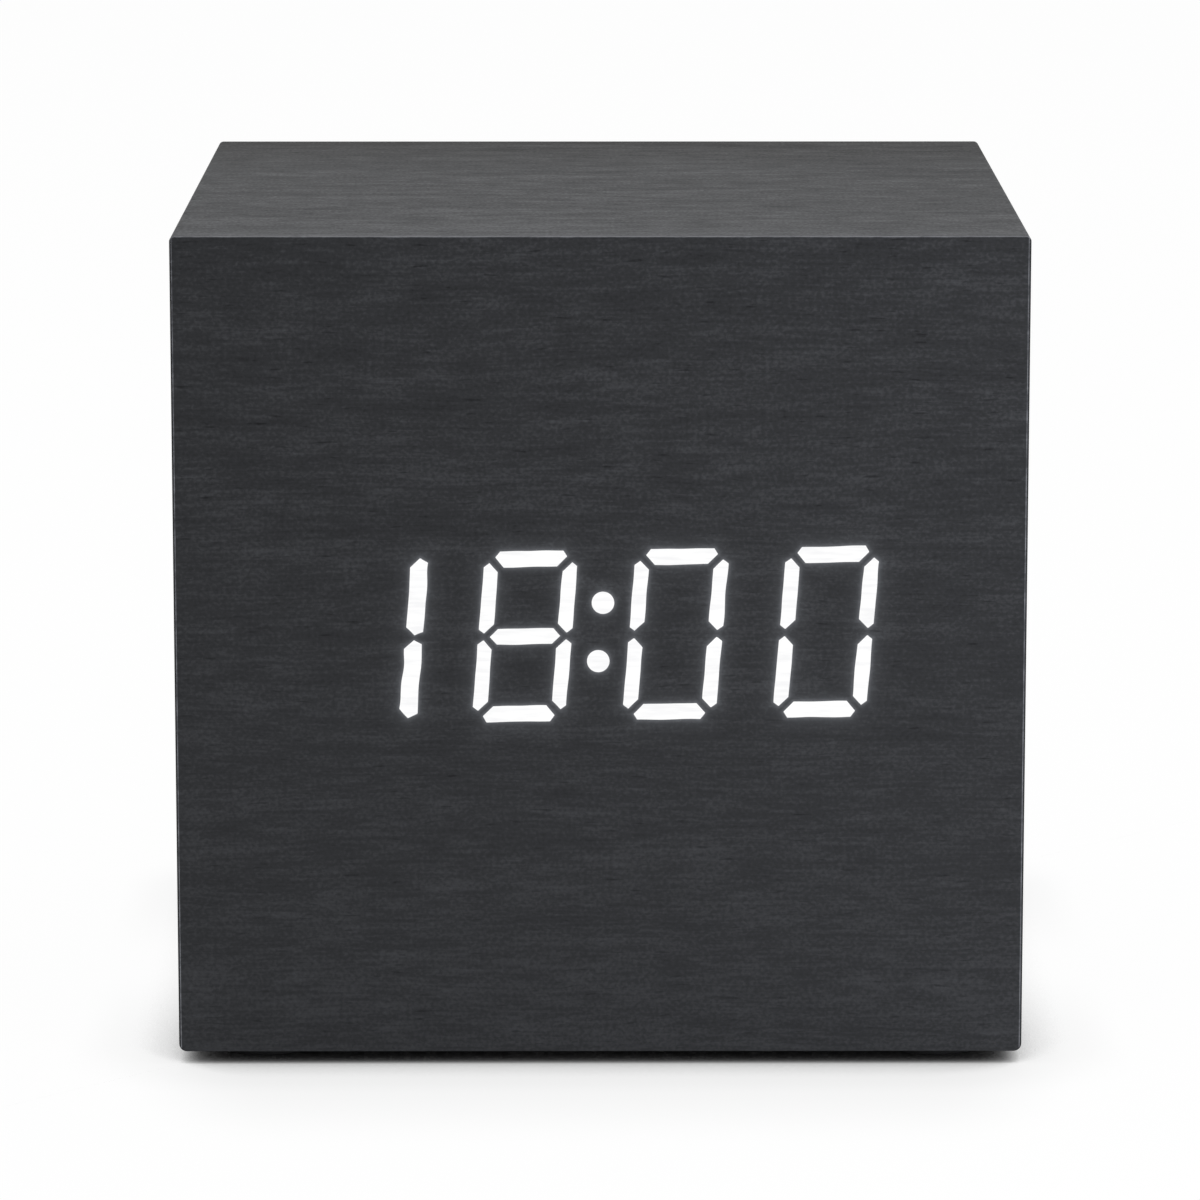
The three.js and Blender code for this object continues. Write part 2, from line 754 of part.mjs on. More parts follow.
function rearCover() {
  const plate = prism(roundedRectangle(coverWidth, coverHeight, coverCorner), coverInner, coverOuter);
  const wellSize = [wellLength + 2 * wellWall, wellHeight + 2 * wellWall];
  const well = bar(...wellSize, wellUnderside, doorSeat, 0, wellMiddle);
  const bosses = bossPlaces.map((x) =>
    rod(bossRadius, boardRear + contactGap, doorSeat, x, boardZ, smallSides),
  );
  const hollow = bar(wellLength, wellHeight, wellFloor, coverOuter + overrun, 0, wellMiddle);
  const seatSize = [doorWidth + 2 * partGap, doorHeight + 2 * partGap];
  const seatOutline = roundedRectangle(...seatSize, doorCorner + partGap);
  const seat = prism(seatOutline, doorSeat, coverOuter + overrun).translate(0, 0, wellMiddle);
  const slotHalf = hookWidth / 2 + partGap;
  const hookSlots = hookPlaces.map((x) =>
    block(
      [x - slotHalf, coverOuter - hookSwing - partGap, doorBottom - hookReach - overrun],
      [x + slotHalf, coverInner, doorBottom + 2 * ledgeWidth],
    ),
  );
  const screwHoles = blockPlaces.flatMap(([x, z]) => [
    rod(coverScrewRadius + partGap, coverInner - overrun, coverOuter, x, z, smallSides),
    rod(coverScrewHead + partGap, screwSeat, coverOuter + overrun, x, z, smallSides),
  ]);
  const through = [coverInner - overrun, coverOuter + overrun];
  const buttonHoles = buttons.map(({ x }) => rod(buttonRadius + partGap, ...through, x, boardZ));
  const jackHole = rod(jackNoseRadius + partGap, ...through, jackX, boardZ);
  const pilotHoles = bossPlaces.map((x) =>
    rod(smallScrewRadius + threadGap, 0, boardRear + smallScrewLength, x, boardZ, smallSides),
  );
  const soundSlots = Array.from({ length: slotCount }, (_, i) => {
    const x = (i - (slotCount - 1) / 2) * slotPitch;
    const z = (doorBottom - coverHeight / 2) / 2;
    return bar(slotWidth, slotLength, ...through, x, z);
  });
  const tabSlots = [-1, 1].map((side) => {
    const i = side > 0 ? cellCount - 1 : 0;
    const wall = (side * wellLength) / 2;
    const inside = wall - side * (contactThickness + contactGap + partGap);
    return block(
      [Math.min(wall, inside), wellUnderside - overrun, cellZ(i) - tabWidth / 2 - partGap],
      [Math.max(wall, inside), wellFloor + overrun, cellZ(i) + tabWidth / 2 + partGap],
    );
  });
  return cut(
    join(plate, well, ...bosses),
    hollow,
    seat,
    ...hookSlots,
    ...screwHoles,
    ...buttonHoles,
    jackHole,
    ...pilotHoles,
    ...soundSlots,
    ...tabSlots,
  );
}

function batteryDoor() {
  const panel = prism(roundedRectangle(doorWidth, doorHeight, doorCorner), doorInner, coverOuter);
  const top = doorHeight / 2;
  const neck = ledgeWidth + partGap - top; // it clears the ledge
  const hooks = hookPlaces.flatMap((x) => {
    const [low, high] = [x - hookWidth / 2, x + hookWidth / 2];
    return [
      block([low, hookInner, neck], [high, coverOuter, neck + hookThickness]),
      block([low, hookInner, -top - hookReach], [high, hookOuter, neck + hookThickness]),
    ];
  });
  const tongueX = tongueWidth / 2 + tongueSlot / 2;
  const slots = [-tongueX, tongueX].map((x) =>
    bar(tongueSlot, tongueLength, doorInner - overrun, coverOuter + overrun, x, top - tongueLength / 2),
  );
  const noseTop = top - ledgeWidth - partGap;
  const nose = block(
    [-tongueWidth / 2, doorInner - noseDepth, noseTop - noseHeight],
    [tongueWidth / 2, coverOuter, noseTop],
  );
  const ribs = Array.from({ length: gripRibs }, (_, i) => {
    const z = top - gripRibPitch * (i + 1);
    const length = tongueWidth - 2 * gripRibWidth;
    return bar(length, gripRibWidth, doorInner, coverOuter + gripRibHeight, 0, z);
  });
  return join(cut(panel, ...slots), ...hooks, nose, ...ribs).translate(0, 0, wellMiddle);
}

// Cells and contacts. A cell stands on y = 0 with its plus end up.
function batteryCell() {
  const radius = cellDiameter / 2;
  const shoulder = cellLength - nubHeight;
  return turned([
    [0, 0],
    [radius - cellEdge, 0],
    [radius, cellEdge],
    [radius, shoulder - cellEdge],
    [radius - cellEdge, shoulder],
    [nubRadius, shoulder],
    [nubRadius, cellLength],
    [0, cellLength],
  ]);
}

class SpringCurve extends THREE.Curve {
  getPoint(t) {
    const radius = THREE.MathUtils.lerp(springBaseRadius, springTipRadius, t);
    const angle = 2 * Math.PI * springTurns * t;
    const along = (springLength - springWire / 2) * t;
    return new THREE.Vector3(along, radius * Math.cos(angle), radius * Math.sin(angle));
  }
}

function spring(x, z) {
  const wire = new THREE.Shape().absarc(0, 0, springWire / 2, 0, 2 * Math.PI);
  const steps = Math.round(springTurns * coilSteps);
  const settings = { steps, curveSegments: wireSteps, extrudePath: new SpringCurve() };
  return new THREE.ExtrudeGeometry(wire, settings).translate(x, 0, z);
}

function dimple(x, z) {
  const profile = [
    [0, 0],
    [dimpleRadius, 0],
    [dimpleRadius, contactThickness],
    [dimpleRadius / 2, contactThickness + dimpleHeight],
    [0, contactThickness + dimpleHeight],
  ];
  return turned(profile, smallSides)
    .rotateZ(-Math.PI / 2)
    .translate(x, 0, z);
}

// A plate against the well's end wall. Its cells press on it from +X, and y = 0 is at their axes.
function contactPlate(cells, facing, tabAt) {
  const heights = cells.map((i) => facing * cellZ(i));
  const low = Math.min(...heights) - contactWidth / 2;
  const high = Math.max(...heights) + contactWidth / 2;
  const half = contactDepth / 2;
  const parts = [block([0, -half, low], [contactThickness, half, high])];
  cells.forEach((i, k) => {
    const presses = plusSide(i) === -facing ? dimple : spring;
    parts.push(presses(presses === spring ? contactThickness : 0, heights[k]));
  });
  if (tabAt !== undefined) {
    const z = facing * cellZ(tabAt);
    const low = [0, tabEnd - cellY, z - tabWidth / 2];
    parts.push(block(low, [contactThickness, 0, z + tabWidth / 2]));
  }
  return join(...parts);
}

function buildBattery() {
  const endWall = wellLength / 2 - contactGap;
  const contacts = [
    { name: "negative_terminal", cells: [0], facing: 1, tabAt: 0 },
    { name: "link_contact_right", cells: [0, 1], facing: -1 },
    { name: "link_contact_left", cells: [1, 2], facing: 1 },
    { name: "positive_terminal", cells: [2], facing: -1, tabAt: 2 },
  ];
  contacts.forEach(({ name, cells, facing, tabAt }) => {
    const plate = contactPlate(cells, facing, tabAt);
    const mesh = piece(name, plate, materials.nickel, box, [-facing * endWall, cellY, 0]);
    mesh.rotation.y = facing > 0 ? 0 : Math.PI;
  });
  const plusEnd = endWall - contactThickness - dimpleHeight - contactGap;
  for (let i = 0; i < cellCount; i++) {
    const side = plusSide(i);
    const start = side * (plusEnd - cellLength);
    const place = [start, cellY, cellZ(i)];
    const mesh = piece(`battery_cell_${i + 1}`, batteryCell(), materials.cell, box, place);
    mesh.rotation.z = (-side * Math.PI) / 2;
  }
}

// Buttons: y = 0 is the end of the post, and +Y points out of the clock

function triangleSymbol(way) {
  return polygon(
    [90, 210, 330].map((degrees) => {
      const angle = THREE.MathUtils.degToRad(degrees);
      return [symbolRadius * Math.cos(angle), way * symbolRadius * Math.sin(angle)];
    }),
  );
}

function ringSymbol() {
  const shape = new THREE.Shape().absarc(0, 0, symbolRadius, 0, 2 * Math.PI);
  shape.holes.push(new THREE.Path().absarc(0, 0, symbolRadius - symbolLine, 0, 2 * Math.PI, true));
  return shape;
}

const symbols = { set: ringSymbol(), up: triangleSymbol(1), down: triangleSymbol(-1) };

function buttonCap(name) {
  const flangeStart = buttonPostLength;
  const flangeEnd = flangeStart + buttonFlange;
  const face = coverOuter + buttonProud - postEnd;
  const cap = turned([
    [0, 0],
    [buttonPostRadius, 0],
    [buttonPostRadius, flangeStart],
    [buttonFlangeRadius, flangeStart],
    [buttonFlangeRadius, flangeEnd],
    [buttonRadius, flangeEnd],
    [buttonRadius, face - buttonChamfer],
    [buttonRadius - buttonChamfer, face],
    [0, face],
  ]);
  return join(cap, prism(symbols[name], flangeEnd, face + symbolHeight));
}

function tactSwitch() {
  const body = bar(switchSize, switchSize, 0, switchHeight);
  const well = rod(plungerRadius + partGap, switchHeight - plungerSunk - plungerRoom, switchHeight + overrun);
  return cut(body, well);
}

function buildButtons() {
  const size = [buttonBoardWidth, buttonBoardHeight];
  const plate = bar(...size, boardFront, boardRear, 0, boardZ);
  const holes = bossPlaces.map((x) =>
    rod(smallScrewRadius + partGap, boardFront - overrun, boardRear + overrun, x, boardZ, smallSides),
  );
  piece("button_board", cut(plate, ...holes), materials.laminate, box);
  bossPlaces.forEach((x, i) => {
    const geometry = smallScrew(smallScrewLength);
    const place = [x, boardFront - contactGap, boardZ];
    const mesh = piece(`button_board_screw_${i + 1}`, geometry, materials.steel, box, place);
    mesh.rotation.z = Math.PI;
  });
  buttons.forEach(({ name, x }) => {
    piece(`button_${name}`, buttonCap(name), materials.keycap, box, [x, postEnd, boardZ]);
    const switchY = boardRear + contactGap;
    piece(`switch_${name}`, tactSwitch(), materials.component, box, [x, switchY, boardZ]);
    const plunger = rod(plungerRadius, 0, plungerSunk + plungerProud);
    const plungerY = switchTop - plungerSunk;
    piece(`plunger_${name}`, plunger, materials.plunger, box, [x, plungerY, boardZ]);
  });
}

// Power inlet: a block on the button board, with a round nose in the cover's hole
function powerInlet() {
  const base = boardRear + contactGap;
  const nose = coverOuter - jackNoseSunk;
  const body = bar(jackWidth, jackWidth, base, coverInner - partGap);
  const barrel = rod(jackNoseRadius, base, nose);
  const bore = rod(jackBoreRadius, nose - jackBoreDepth, nose + overrun);
  return cut(join(body, barrel), bore);
}

function buildInlet() {
  const nose = coverOuter - jackNoseSunk;
  piece("power_inlet", powerInlet(), materials.component, box, [jackX, 0, boardZ]);
  const pin = rod(jackPinRadius, nose - jackBoreDepth + contactGap, nose - jackPinSunk, 0, 0, smallSides);
  piece("inlet_pin", pin, materials.brass, box, [jackX, 0, boardZ]);
}

// Ribbon between the two boards, and the leads from the battery contacts

function ribbon(from, to) {
  const path = new THREE.CubicBezierCurve(
    new THREE.Vector2(...from),
    new THREE.Vector2(from[0] - ribbonBow, from[1]),
    new THREE.Vector2(to[0] + ribbonBow, to[1]),
    new THREE.Vector2(...to),
  );
  const edge = (side) =>
    Array.from({ length: ribbonSteps + 1 }, (_, i) => {
      const tangent = path.getTangent(i / ribbonSteps);
      const across = new THREE.Vector2(-tangent.y, tangent.x);
      return path.getPoint(i / ribbonSteps).addScaledVector(across, (side * ribbonThickness) / 2);
    });
  const outline = new THREE.Shape([...edge(1), ...edge(-1).reverse()]);
  return new THREE.ExtrudeGeometry(outline, { depth: ribbonWidth, bevelEnabled: false })
    .rotateY(Math.PI / 2)
    .rotateX(Math.PI / 2)
    .translate(-ribbonWidth / 2, 0, 0);
}

function lead(from, to) {
  const path = new THREE.CubicBezierCurve3(
    new THREE.Vector3(...from),
    new THREE.Vector3(from[0], from[1] - leadBow, from[2]),
    new THREE.Vector3(to[0], to[1] + leadBow, to[2]),
    new THREE.Vector3(...to),
  );
  const section = new THREE.Shape().absarc(0, 0, leadRadius, 0, 2 * Math.PI);
  const settings = { steps: leadSteps, curveSegments: leadSides / 2, extrudePath: path };
  return new THREE.ExtrudeGeometry(section, settings);
}

function buildWires() {
  const boardY = mainBoardRear - boardHalfDepth + contactGap;
  const ribbonEnd = displayRaise + mainBoardHeight / 2 - ribbonInset;
  const strip = ribbon([boardFront - contactGap, boardZ], [boardY, ribbonEnd]);
  piece("ribbon_cable", strip, materials.ribbon, box);
  const tabX = wellLength / 2 - contactGap - contactThickness / 2;
  const landX = mainScrewX - leadToScrew;
  [
    { name: "battery_lead_negative", side: -1, cell: 0, material: materials.black },
    { name: "battery_lead_positive", side: 1, cell: cellCount - 1, material: materials.red },
  ].forEach(({ name, side, cell, material }) => {
    const start = [side * tabX, tabEnd - contactGap, cellZ(cell)];
    const end = [side * landX, boardY, displayRaise - side * mainScrewZ];
    piece(name, lead(start, end), material, box);
  });
}

// Assembly

function buildCase() {
  const boards = mitredBoards();
  const room = 2 * partGap;
  const window = onDisplay(bar(maskWidth + room, maskHeight + room, -overrun, boardThickness + overrun));
  const pilotHoles = mainScrewPlaces.map(([x, z]) => {
    const tip = mainBoardRear + contactGap - mainScrewLength - threadGap;
    const end = boardThickness + overrun;
    return onDisplay(rod(smallScrewRadius + threadGap, tip, end, x, z, smallSides));
  });
  boards.front = cut(boards.front, window, ...pilotHoles);
  piece("veneer_wrap", veneerSkin(), materials.veneer, box);
  Object.entries(boards).forEach(([side, geometry]) => {
    piece(`${side}_board`, geometry, materials.fibreboard, box);
  });
  const blockEnd = coverInner - contactGap;
  const blockBody = bar(blockSize, blockSize, -blockLength, 0);
  const depth = coverScrewLength - (screwSeat - coverInner) + threadGap;
  const bore = rod(coverScrewRadius + threadGap, -depth, overrun, 0, 0, smallSides);
  blockPlaces.forEach(([x, z], i) => {
    piece(`corner_block_${i + 1}`, cut(blockBody, bore), materials.hardwood, box, [x, blockEnd, z]);
  });
}

function buildFeet() {
  const profile = [
    [0, 0],
    [footRadius - footRim, 0],
    [footRadius, footRim],
    [footRadius, footHeight - contactGap],
    [0, footHeight - contactGap],
  ];
  const [x, y] = [halfWidth - footInset, halfDepth - footInset];
  [
    [-x, -y],
    [x, -y],
    [-x, y],
    [x, y],
  ].forEach((place, i) => {
    const foot = turned(profile).rotateX(Math.PI / 2);
    piece(`foot_${i + 1}`, foot, materials.rubber, clock, [...place, 0]);
  });
}

function coverScrew() {
  return screw(coverScrewRadius, coverScrewHead, coverScrewHeadHeight, coverScrewLength);
}

function buildCover() {
  piece("rear_cover", rearCover(), materials.casing, box);
  blockPlaces.forEach(([x, z], i) => {
    const place = [x, screwSeat + contactGap, z];
    piece(`cover_screw_${i + 1}`, coverScrew(), materials.steel, box, place);
  });
  piece("battery_door", batteryDoor(), materials.casing, box);
}

buildCase();
buildFeet();
buildDisplay();
buildMainBoard();
buildCover();
buildBattery();
buildButtons();
buildInlet();
buildWires();

export default clock;
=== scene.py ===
# Digital alarm clock: the surfaces and finishes of a small veneered box that tells the time.
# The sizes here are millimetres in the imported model's frame: +Z up, front towards -Y, origin on
# the table under the middle of the box. Each mesh is scaled to metres when it is finished.
import math

import bmesh
import bpy
import numpy as np
from mathutils import Matrix, Vector, noise


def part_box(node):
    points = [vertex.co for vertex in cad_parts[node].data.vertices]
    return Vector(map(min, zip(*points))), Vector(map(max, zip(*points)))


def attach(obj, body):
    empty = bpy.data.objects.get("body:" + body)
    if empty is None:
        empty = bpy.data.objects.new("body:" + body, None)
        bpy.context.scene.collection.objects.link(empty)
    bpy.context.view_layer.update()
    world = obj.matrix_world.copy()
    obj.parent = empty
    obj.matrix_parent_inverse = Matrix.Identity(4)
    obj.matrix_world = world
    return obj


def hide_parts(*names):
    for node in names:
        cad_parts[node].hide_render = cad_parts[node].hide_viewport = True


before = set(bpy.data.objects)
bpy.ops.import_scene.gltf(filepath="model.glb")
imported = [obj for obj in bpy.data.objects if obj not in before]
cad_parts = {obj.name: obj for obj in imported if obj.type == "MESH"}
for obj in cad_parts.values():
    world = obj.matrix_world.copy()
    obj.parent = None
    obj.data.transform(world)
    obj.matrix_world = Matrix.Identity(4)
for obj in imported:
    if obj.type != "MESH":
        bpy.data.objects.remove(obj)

MM = 0.001
UPRIGHT = Matrix.Rotation(math.pi / 2, 4, "X")  # turns what is built along Y to stand along Z
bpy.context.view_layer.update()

# The case's skin of veneer
VENEER = 0.4
TOP_CORNER = 0.4  # the two upper edges that run front to back, folded sharp
BOTTOM_CORNER = 0.6  # the two lower ones
EDGE_RADIUS = 0.09  # round the front and the rear rim
ROUND_STEPS = 8
FACE_SUNK = 0.02  # the skin's front lies this far behind the lit bars
HIGHLIGHT_AND_RUB_LINE = (0.11, 0.17, 0.23)  # from the sides: start, middle and end of the front's thin pale line, a painted highlight that is also wear from rubbing
PAINTED_LIGHT_STRIP = 6.0  # of top and side next to the front: painted light, a little paler
SHADED_DEPTH = 20.0  # of top and side next to the back, where painted shade deepens
# Painted light and shade, added to the grain's tone: painted shade on the rear rim, painted light on the fold
# round the front and on the strip behind it, and painted shade on the folds at the front's two sides
REAR_PAINTED_SHADE, FOLD_PAINTED_LIGHT, STRIP_PAINTED_LIGHT, SIDE_FOLD_PAINTED_SHADE = -0.3, 0.15, 0.06, -0.1
# On the front itself, at its lower edge, the two edges of the display and its upper edge: painted light makes
# it palest at the bottom and painted shade a little darker at the top, and the grain is calmest at the bottom
FRONT_PAINTED_LIGHT_AND_SHADE = (0.022, 0.0, 0.0, -0.01)
FRONT_CALM = (0.32, 0.22, 0.06, 0.0)
FOLD_HIGHLIGHT_AND_RUB = (0.9, 0.3)  # how strong the painted highlight, broken up like wear from rubbing, is on the upper front fold, at its top and next to the front
TOP_GRAIN = (1.15, 0.72)  # grain units per mm on the top, whose sheet is cut with a broader figure
RIM_GRAIN = (80, 90)  # the rear rim shows another stretch of the sheet

# Lit bars
BAR_DEPTH = 0.3
BAR_STEP = 0.35  # between the points along a bar's side
WAVE = 0.03  # how far a bar's side wanders
BOLD_WAVE = 0.06  # on the leading 1
WAVE_LENGTH = 1.9
TIP_ROUNDING = 0.07
SLIMMING = 0.02  # taken off all round a bar, which looks thinner than its lens through the veneer
DOT_SIDES = 48
GLOW_REACH = (0.12, 0.65)  # the rim of light on a bar and the faint wide one fall to a third here
GLOW_SHARE = (0.75, 0.25)
GLOW_MARGIN = 2.4  # of finely divided veneer round the bars
GLOW_STEP = (0.16, 0.12)  # its divisions, across and up

# Feet
FOOT_HOLLOW = (0.12, 0.55)  # depth under the middle, and its share of the radius
FOOT_EDGES = (0.3, 0.08)  # on the floor and under the case

# Rear cover and battery door
COVER_THICKNESS = 2.6
COVER_CORNER = 1.0
FITTING_GAP = 0.3
BEARING_GAP = 0.05  # between faces that bear on each other
OVERLAP = 0.2  # how far one part of a moulding runs into another
HAIR = 0.02  # and how far where it would show, so that no two faces coincide
MOULDED_EDGE = 0.15
SQUARE = 0.01  # the radius of a corner left square
POCKET_DEPTH = 1.2
SLOT_COUNT = 9
SLOT_PITCH = 2.2
SLOT_SIZE = (1.0, 3.4)  # width and height
DOOR_THICKNESS = 1.4
DOOR_CORNER = 0.8
LEDGE = 1.0  # what the door lies on, round the well
HOOK_REACH = 1.4
HOOK_WIDTH = 6.0
HOOK_SPREAD = 30.0
HOOK_THICKNESS = 1.0
HOOK_EDGE = 0.12
HOOK_ROOM = 4.5  # from the cover's face to the end of the notches
TONGUE = (11.0, 7.0)  # width and length
TONGUE_SLOT = 0.8
TONGUE_CORNERS = (0.15, 0.35, 0.35, 0.3)  # slot's mouth, slot's end twice, tongue's tip
NOSE = (1.0, 1.2)  # depth and height
NOSE_EDGE = 0.3
RIB_COUNT = 4
RIB_WIDTH = 0.6
RIB_PITCH = 1.3
RIB_HEIGHT = 0.4
RIB_FLAT = 0.05  # what its rounding leaves of half its width
WELL_WALL = 1.2
CELL_ROOM = 0.5  # between a cell and the floor of the well

# Cover screws
SCREW_HEAD = 1.9
SCREW_BORE = 1.4
SHANK = (1.1, 0.5, 1.2)  # radius, radius and length of the point
CROWN = (0.62, 0.55)  # the head's flat middle and upright rim, as shares of its radius and height
CROSS = (0.26, 0.35)  # half the slot's width, and its floor as a share of the head's height
CROSS_TAPER = (0.45, 1, 0.6)  # the slot's floor against its mouth, in length, depth and width
SCREW_TURNS = (17, 52, 71, 34)  # degrees

# Buttons
KEY_RADIUS = 3.1
KEY_FLANGE = (3.8, 1.0)  # radius and thickness
KEY_POST = (1.5, 0.8)  # radius and length
KEY_DISH = 0.15
SYMBOL_RADIUS = 1.4
SYMBOL_LINE = 0.5
SYMBOL_HEIGHT = 0.2
SYMBOL_ROOT = 0.5  # how deep a symbol is let into its button
SYMBOL_CORNER = 0.15
SYMBOL_EDGE = 0.08

# Power inlet
INLET_NOSE = 3.0
BORE_RADIUS = 1.8
BORE_DEPTH = 6.5
INLET_LAP = 0.05  # how far the closed rear of its body runs into the bored front
PIN_RADIUS = 0.6

# Battery cells and contacts
CELL_RADIUS = 5.1
NUB = (1.8, 0.8)  # radius and height
BASE = (3.6, 3.75, 0.15)  # the can's bare base: its radius, the film's edge round it, and its depth
PLUS_END = (3.4, 3.2, 0.3)  # the plus end's step: radius above and below, and depth
BARE_RADIUS = 3.9  # faces that lie wholly within this radius are bare steel
PALE_BAND = (11.0, 10.98)  # from the shoulder: where the slate film ends and where the pale one starts
CONTACT = 0.5  # thickness
CONTACT_REACH = 4.4  # from the cells' middle to a contact's edges
CONTACT_END = 4.3  # and above and below them
CONTACT_TAB = 1.3  # half its width
SPRING_LENGTH = 4.0
SPRING_WIRE = 0.6
SPRING_RADII = (3.4, 1.9)  # at the contact and at the cell
SPRING_TURNS = 3.5
SPRING_STEPS = 28
DIMPLE = (1.8, 0.4)  # radius and height

# Floor
FLOOR_SIDE = 12000.0
NEAR = 9.0  # what stands this near shades the floor
SHADE_CURVE = (  # how open to the air a place is, and how white it shows
    (0.09, 0.0015), (0.135, 0.012), (0.19, 0.085), (0.40, 0.38), (0.50, 0.55), (0.59, 0.85), (0.65, 0.91),
    (0.75, 0.945), (0.93, 0.97),
)
BESIDE = (24.0, 2.0)  # before or behind the middle: full shade beyond the first, faintest within the second
POOL_CENTRE = (24.0, 32.5)  # half the length of the pool of shade, and how far it lies before the middle
POOL_REACH = (4.0, 24.0)  # from its middle line: darkest within the first, gone beyond the second
POOL_SQUEEZE = 1.8  # its ends fall off this many times faster than its front
POOL_DEPTH = 0.915  # the white that it leaves
SEEN_SHARE = 0.97  # what the eye sees is this much the even white, and the rest the lit paper


def span(name):
    """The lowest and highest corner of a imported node, in millimetres."""
    low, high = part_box(name)
    return low / MM, high / MM


def centre(box):
    """The middle of a box that span gave."""
    return (box[0] + box[1]) / 2


skin_low, skin_high = span("veneer_wrap")
skin_middle = (skin_low.z + skin_high.z) / 2
cover_low, cover_high = span("rear_cover")
door_low, door_high = span("battery_door")
well_cells = [span(f"battery_cell_{i}") for i in (1, 2, 3)]
buttons = {name: span(f"button_{name}") for name in ("set", "up", "down")}
inlet_low, inlet_high = span("power_inlet")
screws = [span(f"cover_screw_{i}") for i in (1, 2, 3, 4)]

OUTER = cover_high.y
INNER = OUTER - COVER_THICKNESS
OPENING = (span("right_board")[0].x, span("top_board")[0].z - skin_middle)  # half the rear opening
DOOR_BOTTOM = door_low.z + HOOK_REACH
DOOR_INNER = OUTER - DOOR_THICKNESS
SEAT = DOOR_INNER - FITTING_GAP


# Meshes

def placed(name, data):
    """A new object in the scene."""
    item = bpy.data.objects.new(name, data)
    bpy.context.scene.collection.objects.link(item)
    return item


def add_mesh(bm, mesh, matrix=None):
    """Adds a mesh to bm, moved by a matrix, and clears it away."""
    if matrix is not None:
        mesh.transform(matrix)
    bm.from_mesh(mesh)
    bpy.data.meshes.remove(mesh)


def rounded(corners, radii, steps=ROUND_STEPS):
    """An outline through these corners, each rounded to its radius."""
    corners = [Vector(corner) for corner in corners]
    if not hasattr(radii, "__len__"):
        radii = [radii] * len(corners)
    points = []
    for i, (corner, radius) in enumerate(zip(corners, radii)):
        back = (corners[i - 1] - corner).normalized()
        ahead = (corners[(i + 1) % len(corners)] - corner).normalized()
        half = back.angle(ahead) / 2
        reach = radius / math.tan(half)
        middle = corner + (back + ahead).normalized() * (radius / math.sin(half))
        start, end = corner + back * reach - middle, corner + ahead * reach - middle
        if radius == 0:
            points.append(corner)
            continue
        turn = start.angle_signed(end)
        points += [middle + start @ Matrix.Rotation(turn * k / steps, 2) for k in range(steps + 1)]
    return points


def box_outline(low, high, radius=SQUARE):
    """A rectangle's outline between two corners, in x and z."""
    corners = [(low[0], low[1]), (high[0], low[1]), (high[0], high[1]), (low[0], high[1])]
    return rounded(corners, radius)


def ring_outline(radius, x=0.0, z=0.0, sides=DOT_SIDES):
    """A circle's outline."""
    angles = [2 * math.pi * i / sides for i in range(sides)]
    return [Vector((x + radius * math.cos(a), z + radius * math.sin(a))) for a in angles]


def plate(outlines, low, high, edge=0.0):
    """A plate from y = low to y = high. The first outline is its rim, in x and z, and the others are
    holes. Its edges and the rims of its holes are rounded to edge."""
    flat = [[(x, z, 0) for x, z in outline] for outline in outlines]
    mesh = curve_mesh(
        flat, True, dimensions="2D", fill_mode="BOTH", extrude=(high - low) / 2 - edge,
        bevel_depth=edge, bevel_resolution=2, offset=-edge,
    )
    mesh.transform(moved(0, (low + high) / 2, 0) @ UPRIGHT)
    return mesh


def curve_mesh(lines, closed, **settings):
    """The mesh of a curve with these settings, through each of these lines of points."""
    curve = bpy.data.curves.new("line", "CURVE")
    for name, value in settings.items():
        setattr(curve, name, value)
    for line in lines:
        spline = curve.splines.new("POLY")
        spline.points.add(len(line) - 1)
        for point, place in zip(spline.points, line):
            point.co = (*place, 1)
        spline.use_cyclic_u = closed
    mesh = evaluated(placed("line", curve))
    bpy.data.curves.remove(curve)
    return mesh


def evaluated(holder):
    """The mesh of an object with its modifiers, or of a curve."""
    graph = bpy.context.evaluated_depsgraph_get()
    return bpy.data.meshes.new_from_object(holder.evaluated_get(graph))


def block(low, high, edge=0.0):
    """A block between two corners, with its edges rounded."""
    bm = bmesh.new()
    bmesh.ops.create_cube(bm, size=1)
    size = Vector(high) - Vector(low)
    bmesh.ops.scale(bm, vec=size, verts=bm.verts)
    bmesh.ops.translate(bm, vec=Vector(low) + size / 2, verts=bm.verts)
    if edge:
        bevel(bm, bm.edges[:], edge, 2)
    return bm


def bevel(bm, edges, width, segments):
    """Rounds these edges."""
    bmesh.ops.bevel(
        bm, geom=edges, offset=width, offset_type="OFFSET", affect="EDGES",
        segments=segments, profile=0.5, material=-1, clamp_overlap=True,
    )


def turned(profile, steps=DOT_SIDES):
    """A turned piece about the Y axis. The profile holds radius and y, from one end to the other."""
    bm = bmesh.new()
    points = [bm.verts.new((radius, y, 0)) for radius, y in profile]
    edges = [bm.edges.new(pair) for pair in zip(points, points[1:])]
    bmesh.ops.spin(
        bm, geom=points + edges, cent=(0, 0, 0), axis=(0, 1, 0),
        angle=2 * math.pi, steps=steps, use_merge=True,
    )
    tidy(bm)
    return bm


def tidy(bm):
    """Welds what touches, and turns the normals outwards."""
    bmesh.ops.remove_doubles(bm, verts=bm.verts, dist=1e-4)
    bmesh.ops.recalc_face_normals(bm, faces=bm.faces)


def soft_profile(corners, radii, steps=4):
    """The profile of a turned piece, with its corners rounded."""
    points = []
    last = len(corners) - 1
    for i, (corner, radius) in enumerate(zip(corners, radii)):
        if radius == 0 or i in (0, last):
            points.append(corner)
            continue
        arc = rounded([corners[i - 1], corner, corners[i + 1]], [0, radius, 0], steps)
        points += [tuple(point) for point in arc[1:-1]]
    return points


def mesh_of(bm):
    """The mesh of a bmesh, which is used up."""
    mesh = bpy.data.meshes.new("part")
    bm.to_mesh(mesh)
    bm.free()
    return mesh


